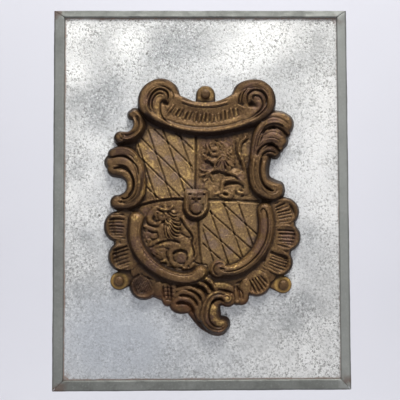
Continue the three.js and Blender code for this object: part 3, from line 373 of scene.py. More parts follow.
SCROLLS = [
    # small scroll, upper left
    {"spine": [[-37.3, 42.6, 1.7, 5.0], [-35.6, 42.6, 2.3, 6.0], [-33.8, 40.2, 2.4, 6.6], [-33.4, 37.0, 2.5, 6.9], [-34.8, 33.6, 2.5, 7.0], [-38.3, 31.4, 2.3, 6.8], [-41.6, 31.2, 2.5, 6.4], [-43.0, 30.4, 2.6, 6.0]],
     "beads": [[0.55, 0.45, 0.65], [-0.1, 1.2, -1.3]], "left": 1.6, "right": 6.0, "round": 0.8},
    # left scroll: outer, inner, middle
    {"spine": [[-46.4, 22.4, 2.3, 5.2], [-43, 23.5, 2.5, 5.6], [-39, 23.2, 2.4, 5.8], [-35.6, 20.6, 2.4, 6.0], [-33, 16, 2.2, 6.3], [-31.7, 11, 2.1, 6.8], [-31.4, 6, 2.1, 7.0], [-31.9, 1.5, 2.2, 7.0],
               [-34.3, -2.4, 2.2, 6.8], [-38.2, -4.3, 2.0, 6.4], [-42, -4.6, 1.8, 6.0], [-44.2, -3.2, 2.2, 5.6]], "left": 3.4, "right": 2.5},
    {"spine": [[-46.0, 13.0, 2.5, 5.0], [-43.5, 12.9, 2.7, 5.5], [-40.2, 12.2, 2.7, 5.8], [-37.7, 9.9, 2.5, 5.9], [-36.7, 6.7, 2.2, 5.8], [-37.0, 3.3, 2.1, 5.6], [-39, 0.7, 1.9, 5.0], [-41, -0.2, 1.8, 4.5]],
     "crown": 0.34, "left": 1.6, "right": 6.0, "round": 1.2},
    {"spine": [[-46.8, 17.2, 2.7, 5.6], [-44, 18.4, 2.5, 6.0], [-40.5, 18.2, 2.4, 6.2], [-37.4, 16.4, 2.0, 6.4], [-35.2, 12.6, 1.3, 6.6], [-34.0, 8.5, 0.8, 6.9], [-33.8, 5, 0.7, 6.9], [-34.9, 1.2, 0.7, 6.7],
               [-37.2, -1.5, 0.7, 6.3], [-40, -2.4, 0.7, 6.0], [-41.8, -1.7, 0.7, 5.6]], "beads": [[-0.7, 0.4, 0.3]], "left": 1.2, "right": 3.0},
    # long C-scroll, lower left
    {"spine": [[-33.4, -11.7, 3.5, 6.7], [-34.1, -16, 3.1, 6.8], [-34.1, -20.5, 3.0, 6.9], [-32.9, -25.2, 3.0, 7.0], [-30.2, -29.8, 3.0, 7.0], [-26.3, -34, 2.8, 7.0], [-21.3, -37.7, 2.6, 7.0], [-15.5, -40.4, 2.5, 7.0],
               [-9, -41.8, 2.5, 7.0], [-4, -41.2, 2.7, 7.0], [-0.8, -39.4, 2.9, 7.1], [0.0, -38.3, 2.8, 7.1]], "beads": [[0.82, 0.36, 0.45], [0.58, 0.32, -0.3]], "left": 3.2, "right": 1.3, "fade": 1.4, "crown": 0.3},
    # long C-scroll, lower right
    {"spine": [[33.0, -5.9, 3.5, 6.6], [33.6, -9, 3.5, 6.9], [34.0, -13, 3.5, 7.0], [33.8, -17, 3.5, 7.0], [33.0, -21, 3.5, 7.0], [31.1, -25.4, 3.4, 7.0], [28.2, -29.6, 3.2, 7.0], [24.3, -33.3, 3.0, 7.0], [19.6, -36.2, 2.7, 7.0],
               [15, -37.4, 2.5, 7.0], [11.8, -37.2, 2.6, 6.9], [9.8, -36.7, 2.9, 6.8]], "beads": [[0.14, 0.34, -0.85], [0.42, 0.42, 0.35], [0.66, 0.32, -0.35], [-0.4, 0.6, 0.12]], "left": 1.05, "right": 3.0, "fade": 1.5},
    # right-hand scroll group: long limb, top lobe, middle lobe, small inner curl
    {"spine": [[27.6, 21, 2.6, 5.8], [28.4, 27, 2.7, 5.9], [29.7, 33, 3.0, 6.0], [32.2, 38.2, 3.3, 6.1], [36.0, 41.4, 3.8, 6.3], [39.6, 41.0, 4.6, 6.5], [41.8, 39.4, 5.3, 6.4]], "crown": 0.22, "left": 2.2, "right": 5.0, "round": 1.0},
    {"spine": [[30.4, 24.5, 1.6, 5.4], [32.6, 30.2, 3.0, 5.7], [36.0, 32.8, 4.2, 6.1], [39.2, 32.0, 4.6, 6.2], [40.2, 30.6, 4.0, 6.0]], "crown": 0.28, "left": 2.2, "right": 5.0, "round": 1.0},
    {"spine": [[31.0, 22.4, 1.8, 5.4], [33.0, 24.6, 2.0, 5.9], [36.0, 25.2, 2.5, 6.1], [38.2, 24.0, 2.3, 5.5]], "crown": 0.3, "left": 3.0, "right": 5},
    {"spine": [[32.9, 21.6, 1.9, 5.3], [31.5, 16.8, 2.5, 5.6], [31.4, 12.6, 2.5, 5.7], [32.9, 9.1, 2.6, 5.7], [36.4, 7.0, 2.6, 5.5], [40.0, 6.0, 2.8, 4.9]], "crown": 0.34, "left": 1.6, "right": 3},
    {"spine": [[31.2, 24, 1.4, 5.6], [28.6, 21.5, 2.2, 6.4], [27.4, 17.5, 2.5, 6.7], [27.2, 13.5, 2.6, 6.9], [27.8, 9.5, 2.6, 7.0], [29.6, 5.4, 2.7, 7.0], [32.8, 2.8, 2.4, 6.8], [36.6, 1.8, 2.2, 6.4], [39.4, 3.0, 2.3, 6.0], [40.4, 5.0, 2.4, 5.4]],
     "beads": [[0.78, 0.5, 0.6], [0.3, 0.8, -0.3]], "left": 2.6, "right": 2.2},
]
SCROLL_KNOBS = [
    {"x": 9.6, "z": -36.6, "a": 3.9, "b": 3.9, "h": 6.5, "drop": 1.1, "slope": 1.6},
    {"x": 14.1, "z": -51.6, "a": 2.5, "b": 2.3, "h": 6.4, "drop": 1.0, "slope": 4},
    {"x": 19.3, "z": -53.4, "a": 1.3, "b": 1.2, "h": 5.4, "drop": 0.7, "slope": 4},
    {"x": -43.8, "z": -3.0, "a": 3.3, "b": 3.4, "h": 6.0, "drop": 1.4},
    {"x": -45.8, "z": 14.2, "a": 3.3, "b": 3.3, "h": 5.4, "drop": 1.4},
    {"x": 38.6, "z": 5.6, "a": 2.8, "b": 2.6, "h": 5.8, "drop": 1.1, "slope": 2.5},
    {"x": -42.8, "z": 30.8, "a": 3.0, "b": 3.0, "h": 6.4, "drop": 1.3},
    {"x": 40.5, "z": 26.8, "a": 1.8, "b": 1.8, "h": 5.0, "drop": 0.4},
    {"x": 44.2, "z": 34.6, "a": 1.7, "b": 1.6, "h": 5.0, "drop": 0.4},
]
VOLUTES = [
    {"x": -22.6, "z": 51.0, "a": 9.5, "b": 9.5, "h": 6.0, "drop": 0.3},
    {"x": 26.6, "z": 52.2, "a": 9.5, "b": 9.5, "h": 6.0, "drop": 0.3},
]
# banner: the hollow panel, then the moulding round both volutes and along its foot
BANNER = [
    {"spine": [[-22.0, 49.6, 8.0, 6.2], [-17, 46.6, 8.2, 6.2], [-11, 44.2, 8.0, 6.2], [-5, 43.0, 7.2, 6.2], [0.5, 42.5, 7.1, 6.2], [6, 42.9, 7.2, 6.2], [12, 44.0, 7.8, 6.2], [18, 46.5, 8.2, 6.2], [24, 50.6, 7.6, 6.2]],
     "crown": 0, "beads": [[0.76, 2.0, 0.75], [-0.15, 4.0, -0.7]], "right": 3, "soft": 0.4, "fade": 0.6, "round": 0.7},
    {"spine": [[-13.9, 53.9, 1.2, 6.4, 6], [-16.4, 57.8, 1.8, 6.8, 6], [-21.5, 59.9, 2.0, 7.0, 6], [-26.8, 58.3, 2.0, 7.1, 6], [-30.4, 54.6, 2.1, 7.2, 6], [-31.3, 49.8, 2.1, 7.2, 5], [-29.6, 45.2, 2.1, 7.4, 2.6],
               [-25.6, 41.6, 1.4, 7.4, 2.1], [-20.5, 38.9, 1.0, 7.3, 2.0], [-13, 36.2, 0.8, 7.2, 2.0], [-6, 34.9, 0.8, 7.2, 2.0], [1, 34.5, 0.8, 7.2, 2.0], [8.5, 35.2, 0.8, 7.2, 2.0], [16, 36.8, 0.9, 7.2, 2.0],
               [23, 39.2, 1.1, 7.2, 2.0], [29.4, 42.4, 1.6, 7.2, 2.2], [34.0, 46.4, 2.1, 7.3, 5], [35.6, 51.5, 2.1, 7.2, 6], [34.2, 56.4, 2.1, 7.1, 6], [30.2, 59.8, 2.0, 7.0, 6], [25.2, 60.3, 2.0, 6.8, 6], [19.6, 58.4, 1.9, 6.6, 6],
               [16.8, 54.4, 1.3, 6.2, 6]],
     "crown": 0.15, "tilt": 0.15, "left": 1.5, "round": 0.35, "fade": 0.5},
]
# quarters: lozenge grooves by angle and offset, and the lines between the quarters
LOZENGES = [
    {"box": [-34, -4.4, 34.5], "families": [[-43.6, [-15.9, -7.4, 0.15, 8.3, 14.9]], [-70.0, [-22.3, -14.8, -7.2, 0.1]]]},
    {"box": [0.8, 31, -36], "families": [[-41.0, [-17.1, -9.8, -2.3, 5.3]], [-70.0, [-4.7, 2.2, 10.1, 17.3]]]},
]
LIONS = [
    # upper right lion: mane and back, head, jaw, arms, claws, haunch and legs, tail
    [[12.8, 27.5, 2.5, 1.2], [13.0, 22, 3.5, 1.7], [11.6, 17.8, 4.8, 2.1], [11.2, 16.6, 4.2, 2.1]],
    [[9.6, 27.2, 2.6, 2.0], [8.6, 25.6, 2.4, 1.9], [6.4, 25.5, 1.5, 1.6], [5.0, 25.7, 0.9, 1.2]],
    [[9.0, 23.2, 1.6, 1.5], [5.6, 22.7, 0.9, 1.2]],
    [[8.6, 19.4, 1.8, 1.7], [4.8, 19.4, 1.2, 1.5], [2.0, 20.8, 1.2, 1.5], [0.6, 22.0, 0.8, 1.3]],
    [[2.0, 22.2, 0.7, 1.2], [2.9, 25.0, 0.6, 1.1], [2.4, 27.8, 0.6, 1.0]],
    [[4.8, 23.2, 0.6, 1.2], [3.4, 25.6, 0.6, 1.1], [2.9, 28.6, 0.5, 1.0]],
    [[9.0, 15.2, 1.4, 1.6], [6.2, 14.5, 1.1, 1.5], [3.6, 13.5, 1.1, 1.4], [0.8, 12.5, 0.9, 1.2], [-0.8, 11.7, 0.7, 1.0]],
    [[3.6, 13.6, 0.7, 1.3], [1.0, 14.3, 0.6, 1.1], [-1.0, 15.1, 0.5, 1.0]],
    [[4.6, 12.8, 0.8, 1.3], [5.1, 11.0, 0.7, 1.2], [5.8, 9.2, 0.6, 1.0]],
    [[3.4, 12.4, 0.8, 1.3], [2.4, 10.4, 0.7, 1.2], [1.4, 8.9, 0.6, 1.0]],
    [[14.6, 13.8, 1.6, 1.5], [17.4, 12.8, 2.8, 2.1], [20.2, 10.6, 3.0, 2.2], [22.3, 7.2, 2.1, 1.8], [23.3, 3.6, 1.3, 1.4]],
    [[17.8, 9.9, 1.3, 1.7], [14.2, 10.1, 1.1, 1.6], [11.6, 9.2, 1.0, 1.5], [10.7, 6.6, 0.9, 1.4], [10.6, 4.0, 0.9, 1.3]],
    [[20.6, 6.0, 1.1, 1.0], [17.2, 5.4, 1.5, 1.3], [16.2, 3.0, 1.5, 1.3], [14.6, 1.0, 1.1, 1.1]],
    [[10.4, 3.6, 0.8, 1.2], [13.2, 3.5, 0.7, 1.1]],
    [[9.8, 1.2, 0.7, 1.0], [12.6, 0.6, 0.8, 1.0], [15.6, 0.9, 0.8, 1.1]],
    [[23.6, 3.2, 1.0, 1.2], [21, 2.8, 0.8, 1.1], [19.0, 3.4, 0.7, 1.0]],
    [[6.2, 1.6, 0.7, 1.0], [8.4, 2.6, 0.8, 1.1], [10.0, 3.2, 0.7, 1.1]],
    [[22.8, 11, 0.9, 1.3], [22.0, 16.6, 0.8, 1.2], [20.6, 21, 0.8, 1.2], [19.4, 25, 0.8, 1.2], [20.2, 29.2, 0.9, 1.2], [22.6, 32, 0.9, 1.0]],
    # lower left lion
    [[-18.8, -9.6, 2.0, 1.6], [-21.0, -9.8, 2.2, 1.9], [-23.0, -8.6, 1.6, 1.7]],
    [[-23.4, -5.9, 1.2, 1.4], [-25.2, -7.6, 1.2, 1.6], [-26.6, -10.0, 1.3, 1.6], [-26.2, -12.6, 1.3, 1.6], [-23.6, -13.8, 1.1, 1.5], [-21.4, -13.4, 0.9, 1.4]],
    [[-21.4, -6.2, 0.8, 1.4], [-18.6, -6.6, 0.8, 1.5], [-16, -6.0, 0.8, 1.4], [-15.0, -4.6, 0.6, 1.2]],
    [[-18.6, -6.2, 0.6, 1.3], [-18.4, -4.6, 0.7, 1.2]],
    [[-14.8, -8.8, 2.0, 1.3], [-14.6, -12, 3.0, 1.7], [-15.2, -16, 3.8, 2.1], [-15.8, -19, 3.9, 2.2], [-16.2, -20.6, 3.4, 2.0]],
    [[-20.2, -15, 1.2, 1.5], [-20.9, -17.6, 1.2, 1.5], [-20.4, -20.8, 1.0, 1.4]],
    [[-11.6, -21.0, 2.2, 1.8], [-8.8, -23.0, 2.6, 1.9], [-6.4, -26, 2.6, 1.9], [-5.0, -29, 1.7, 1.7], [-5.4, -32.4, 1.3, 1.5], [-7.2, -35.4, 1.1, 1.2]],
    [[-25.4, -26.8, 0.8, 1.1], [-22.4, -25.4, 1.2, 1.4], [-18.8, -24.6, 1.4, 1.6], [-14.8, -24.6, 1.8, 1.7], [-10.8, -25.0, 1.9, 1.8]],
    [[-23.0, -28.2, 2.2, 1.3], [-20.4, -28.8, 3.0, 1.6], [-18.6, -29.4, 2.6, 1.4]],
    [[-10.6, -24.8, 1.3, 1.7], [-13.2, -26.6, 1.3, 1.7], [-15.4, -28.2, 1.2, 1.6], [-15.4, -30.6, 1.1, 1.5], [-14.6, -33.2, 1.1, 1.3], [-13.0, -35.2, 0.9, 1.1]],
    [[-17.6, -32.0, 0.9, 1.1], [-18.6, -33.2, 0.9, 1.1], [-20.2, -33.4, 0.7, 1.0]],
    [[-10.2, -30.6, 2.4, 1.0], [-9.6, -31.4, 2.4, 1.0]],
    [[-20.9, -16.8, 1.0, 1.4], [-23.8, -16.9, 0.9, 1.2], [-26.6, -16.2, 0.8, 1.1], [-29.2, -15.2, 0.7, 1.0]],
    [[-20.2, -22.2, 1.1, 1.4], [-23.5, -23.3, 1.0, 1.3], [-25.9, -24.8, 0.8, 1.1]],
    [[-24.4, -20.4, 1.5, 1.1], [-24.0, -20.2, 1.4, 1.1]],
    [[-3.4, -31.5, 0.8, 1.0], [-2.4, -29.2, 0.8, 1.0], [-3.0, -26.8, 0.8, 1.0], [-3.9, -24.0, 0.8, 1.0], [-3.3, -21.4, 0.9, 1.0], [-4.4, -18.0, 0.9, 1.1], [-7.0, -14.0, 1.0, 1.1], [-9.4, -10.6, 0.8, 1.0]],
    [[-9.4, -14.6, 1.3, 0.9], [-7.8, -17.4, 1.7, 1.0], [-6.4, -19.4, 1.1, 0.9]],
    [[-8.4, -36.6, 0.8, 1.0], [-5.4, -36.0, 0.8, 1.0], [-3.6, -34.6, 0.8, 1.0]],
    [[14.6, 4.4, 2.6, 0.7], [17.4, 3.6, 2.4, 0.7]],
]
# fine work on the lions: [half width, height, stations...]
UR = [
    [0.5, -0.75, [6.5, 30.5], [9, 28.8], [11, 27], [11.3, 25.7]],
    [0.4, -0.8, [5.3, 24], [7.5, 24.4]],
    [0.45, -0.7, [8.4, 25.6], [9.6, 25.2], [10.4, 24.2]],
    [0.45, 0.5, [2, 28.5], [2.7, 26.5], [4.3, 23.8]],
    [0.4, 0.45, [3.9, 29], [4.2, 27.2], [5.2, 25.6]],
    [0.4, -0.6, [3.3, 28.4], [3.7, 26.6], [4.8, 24.9]],
    [0.45, 0.6, [6.4, 29.4], [8.2, 28.9], [9.6, 27.6]],
    [0.6, 0.55, [0.5, 19.8], [3.2, 19.8], [5.2, 18.8], [6, 17.5]],
    [0.55, -0.9, [1.5, 18.6], [3, 18.9], [4.8, 17.8], [5.8, 16.3]],
    [0.4, -0.7, [-0.8, 22.4], [0.6, 21.2], [1.2, 19.8]],
    [0.4, -0.6, [0.8, 23.6], [2.2, 22.4], [3.4, 22.2], [4.6, 21.4]],
    [0.85, -1.9, [4.6, 12.2], [6.0, 13.0], [8.2, 13.4], [10.6, 13.0], [13, 12.2], [15.2, 11.8]],
    [0.5, -0.9, [14.5, 11.9], [17, 11.2], [19, 9.8]],
    [0.5, 0.5, [-1, 14.8], [2, 13.6]],
    [0.5, 0.55, [-1, 10.8], [0.5, 11.7], [3, 12.7], [4.5, 13.4], [5.8, 14.4]],
    [0.5, -0.85, [-0.6, 13.2], [1.4, 12.9], [3, 14.2]],
    [0.5, -0.9, [1.2, 9.1], [2.4, 10.3], [3.8, 11.4]],
    [0.5, -0.9, [4.5, 11.2], [5.1, 9.8], [5.5, 8.2]],
    [0.4, -0.7, [2.6, 8.6], [3.2, 9.6]],
    [0.5, 0.55, [15.3, 13.3], [17.5, 12.4], [19, 10.8], [21, 9], [23, 7.3], [23.8, 5], [24, 3.5]],
    [0.45, 0.35, [11, 10.8], [14, 10.9]],
    [0.45, 0.4, [11, 9.2], [13, 9.5], [17.5, 10]],
    [0.45, -0.6, [10.4, 10.1], [13, 10.2], [16, 10.6]],
    [0.8, -1.6, [11.6, 6.6], [13.6, 7.4], [16.4, 8.0], [19, 7.9], [21, 6.6], [22.1, 5.0]],
    [0.5, 0.5, [10.6, 9], [10.4, 7], [10.6, 5]],
    [0.5, 0.4, [12, 5.3], [15, 6.5], [19, 6.8], [21.3, 5.6]],
    [0.5, 0.45, [15, 5], [16, 3], [16.5, 1]],
    [0.5, 0.5, [9.6, 3.6], [10.5, 2.2], [12, 0.6], [14, 0.7], [15, 3]],
    [0.6, -0.9, [11.6, 3.4], [12.6, 1.9], [14, 1.9]],
    [0.6, -0.8, [17.6, 4.6], [18.2, 2.2], [19.4, 1.8]],
    [0.5, -0.7, [8.0, 1.2], [9.6, 0.6], [11, -0.3]],
    [0.5, 0.5, [6.0, 1.6], [8.2, 2.4], [9.4, 1.5]],
    [0.6, -0.8, [20.2, 0.7], [21.4, 1.3], [22.6, 2.6]],
    [0.5, 0.5, [19.4, 2.9], [21.2, 3.0], [22.8, 1.2]],
    [0.4, 0.5, [23, 32], [21.5, 31], [19.6, 29.5], [19, 27], [19, 24.5], [19.8, 22], [21, 20], [21.8, 17.5], [22, 15]],
    [0.5, -0.7, [24.3, 31.6], [22.6, 30], [21, 28.6], [20.4, 27], [20.3, 25], [21, 22.8]],
    [0.5, -0.7, [17.7, 30.4], [17.5, 27], [17.6, 24.4], [18.5, 21.4], [19.8, 19], [20.5, 16.4]],
    [0.4, 0.5, [12.5, 24.5], [14, 22.8], [14.6, 21]],
    [0.4, 0.45, [13.4, 26], [15.1, 24.4], [15.8, 22.2]],
    [0.4, -0.6, [14.5, 28.2], [14.9, 26.4]],
    [0.4, 0.4, [11.6, 30.4], [13.6, 29.4], [14.6, 27.6]],
]
MANE_UR = [
    [0.5, 0.7, [11.0, 22.6], [8.6, 20.8], [7.0, 18.8], [6.4, 16.8], [7.1, 15.1]],
    [0.5, 0.7, [10.6, 21.4], [9.4, 19.0], [8.6, 16.8], [8.6, 15.0]],
    [0.5, 0.7, [10.9, 21.0], [10.6, 18.0], [10.6, 15.8], [10.9, 14.6]],
    [0.5, 0.7, [11.2, 20.6], [11.8, 18.0], [13.1, 16.4], [14.5, 15.3]],
    [0.5, 0.7, [11.8, 21.0], [13.4, 19.3], [15.4, 17.6], [16.9, 16.2]],
    [0.45, 0.6, [12.0, 22.4], [14.0, 20.9], [16.0, 19.4], [17.2, 18.2]],
    [0.4, 0.5, [12.4, 23.6], [14.2, 22.4], [15.6, 21.0]],
    [0.4, 0.4, [12.6, 25.2], [14.2, 24.0], [15.6, 23.0]],
    [0.42, -0.9, [10.2, 21.5], [8.5, 19.4], [7.5, 17.2], [7.7, 15.2]],
    [0.42, -0.9, [10.5, 20.5], [9.8, 17.6], [9.6, 15.0]],
    [0.42, -0.9, [11.0, 19.8], [11.3, 17.0], [12.4, 15.0]],
    [0.42, -0.9, [11.9, 19.8], [13.2, 17.9], [15.3, 16.1]],
    [0.42, -0.8, [12.4, 21.0], [14.6, 19.2], [16.9, 17.3]],
    [0.4, -0.6, [12.6, 22.6], [14.8, 21.0], [16.4, 20.0]],
    [0.4, -0.5, [12.8, 24.3], [14.6, 23.0], [15.9, 22.0]],
]
LL = [
    [0.45, 0.6, [-21.5, -5.5], [-20, -6.3], [-16.5, -6.3], [-15.2, -4.8]],
    [0.4, 0.5, [-19.4, -6.2], [-19.6, -4.4], [-18.2, -3.9]],
    [0.4, 0.4, [-17.4, -6.2], [-17.6, -4.2]],
    [0.42, -0.8, [-23.2, -5.6], [-21.8, -6.8], [-20.2, -7.6], [-18.6, -9.4], [-18.0, -10.8]],
    [0.42, -0.75, [-22.4, -8.2], [-22.6, -10.4], [-21.4, -12.4]],
    [0.5, -0.9, [-25.0, -10.4], [-24.6, -11.9], [-23.4, -12.7], [-21.6, -12.7]],
    [0.45, 0.5, [-21.5, -9.1], [-20.4, -8.6], [-19.3, -9.4]],
    [0.4, -0.6, [-21.4, -9.9], [-20.4, -9.7], [-19.6, -10.6]],
    [0.4, -0.5, [-28.0, -12.4], [-27.4, -14.0], [-25.6, -14.8], [-22.6, -14.9]],
    [0.42, -0.75, [-20.9, -13.8], [-19.8, -13.1], [-18.6, -12.2]],
    [0.4, 0.4, [-18.8, -17.3], [-19.7, -19.3], [-19.2, -21]],
    [0.62, -1.5, [-23.4, -24.9], [-21.2, -23.8], [-18.6, -22.9], [-16, -22.4], [-13.0, -22.6], [-10.2, -23.6]],
    [0.45, -0.8, [-26.2, -26.6], [-24.8, -25.8], [-22.8, -24.6]],
    [0.5, 0.35, [-23.4, -26.2], [-21, -25.2], [-18, -24.5], [-15, -24.4]],
    [0.5, -1.0, [-17.2, -27.4], [-17.6, -29.2], [-17.2, -31.2], [-16.4, -33.0]],
    [0.42, -0.6, [-11.6, -26.8], [-13.6, -28.4], [-14.4, -29.6]],
    [0.6, -1.5, [-14.2, -29.6], [-13.2, -28.4], [-11.4, -27.6], [-9.2, -27.5], [-7.4, -28.2], [-6.4, -29.6]],
    [0.42, -0.75, [-14.0, -30.4], [-13.7, -32.4], [-12.4, -33.6]],
    [0.42, -0.75, [-6.4, -30.4], [-6.9, -33.0]],
    [0.42, -0.55, [-12.0, -33.6], [-10.0, -34.4], [-7.8, -33.8]],
    [0.5, 0.4, [-12.0, -31.4], [-11.4, -29.6], [-9.8, -28.9], [-8.0, -29.6]],
    [0.4, -0.4, [-10.8, -30.4], [-9.4, -31.4], [-9.2, -32.8]],
    [0.4, -0.45, [-24.2, -28.4], [-22.6, -29.8], [-20.8, -30.4]],
    [0.4, -0.4, [-22.0, -27.6], [-20.2, -28.2], [-18.8, -28.0]],
    [0.45, -0.8, [-20.4, -34.2], [-18.6, -34.2], [-17, -34.8]],
    [0.45, 0.45, [-19.8, -32.4], [-18.4, -32.6], [-17, -33.3]],
    [0.45, -0.8, [-16.2, -35.7], [-15.0, -36.4], [-13.6, -36.2]],
    [0.45, -0.7, [-11.6, -36.4], [-10.2, -36.9], [-8.9, -36.2]],
    [0.45, 0.5, [-9.6, -35.6], [-8.2, -36.4], [-6.6, -36.2]],
    [0.45, -0.7, [-6.6, -35.0], [-5.2, -36.2]],
    [0.5, -1.0, [-10.9, -10.4], [-9.6, -13.2], [-7.4, -16.2], [-5.3, -18.4], [-4.2, -20.4], [-4.3, -22.2], [-4.7, -23.8], [-3.9, -26.2], [-3.2, -28.6], [-3.8, -31.2]],
    [0.38, 0.35, [-9.8, -9.8], [-7.8, -13.0], [-5.4, -16.4], [-3.8, -18.9], [-3.0, -21.0], [-3.6, -23.4], [-2.9, -26.4], [-2.2, -28.8], [-2.7, -31.2]],
    [0.42, -0.7, [-10.4, -18.4], [-8.6, -19.7], [-6.8, -20.4], [-5.0, -20.6]],
    [0.4, -0.45, [-10.2, -13.0], [-10.9, -15.4], [-10.4, -17.6]],
    [0.45, -0.8, [-22.6, -18.6], [-25.2, -18.4], [-27.6, -17.6]],
    [0.4, 0.4, [-28.2, -14.4], [-26.8, -15.2], [-25.2, -15.4]],
    [0.4, -0.7, [-29.6, -17.0], [-28.6, -18.6]],
    [0.4, -0.6, [-22.6, -21.6], [-24.8, -22.0], [-26.4, -21.0]],
    [0.4, 0.4, [-28.6, -20.6], [-27.0, -22.2], [-25.0, -22.6]],
    [0.4, -0.7, [-28.6, -22.8], [-27.0, -24.4]],
    [0.4, -0.6, [-25.6, -29.2], [-23.8, -30.8]],
]
MANE_LL = [
    [[-16.8, -8.0], [-14.6, -9.4], [-12.6, -9.2]],
    [[-17.2, -9.2], [-14.8, -10.9], [-12.4, -10.7]],
    [[-16.4, -11.0], [-14.2, -12.8], [-11.8, -13.2], [-10.6, -12.6]],
    [[-16.2, -12.2], [-14.0, -14.6], [-11.8, -15.4], [-10.4, -14.8]],
    [[-16.2, -13.6], [-14.2, -16.4], [-12.0, -17.6], [-10.6, -17.2]],
    [[-16.6, -14.6], [-15.0, -17.6], [-13.0, -19.2], [-11.0, -19.4]],
    [[-17.0, -15.2], [-15.8, -18.6], [-13.9, -20.6], [-11.8, -21.0]],
    [[-17.6, -14.8], [-16.9, -18.0], [-15.6, -20.6], [-14.2, -21.8]],
    [[-18.4, -14.6], [-18.2, -17.4], [-17.5, -20.2], [-16.4, -21.8]],
    [[-19.2, -14.4], [-19.5, -17.2], [-19.0, -20.6]],
    [[-18.6, -11.6], [-18.0, -12.8], [-16.8, -14.0]],
]
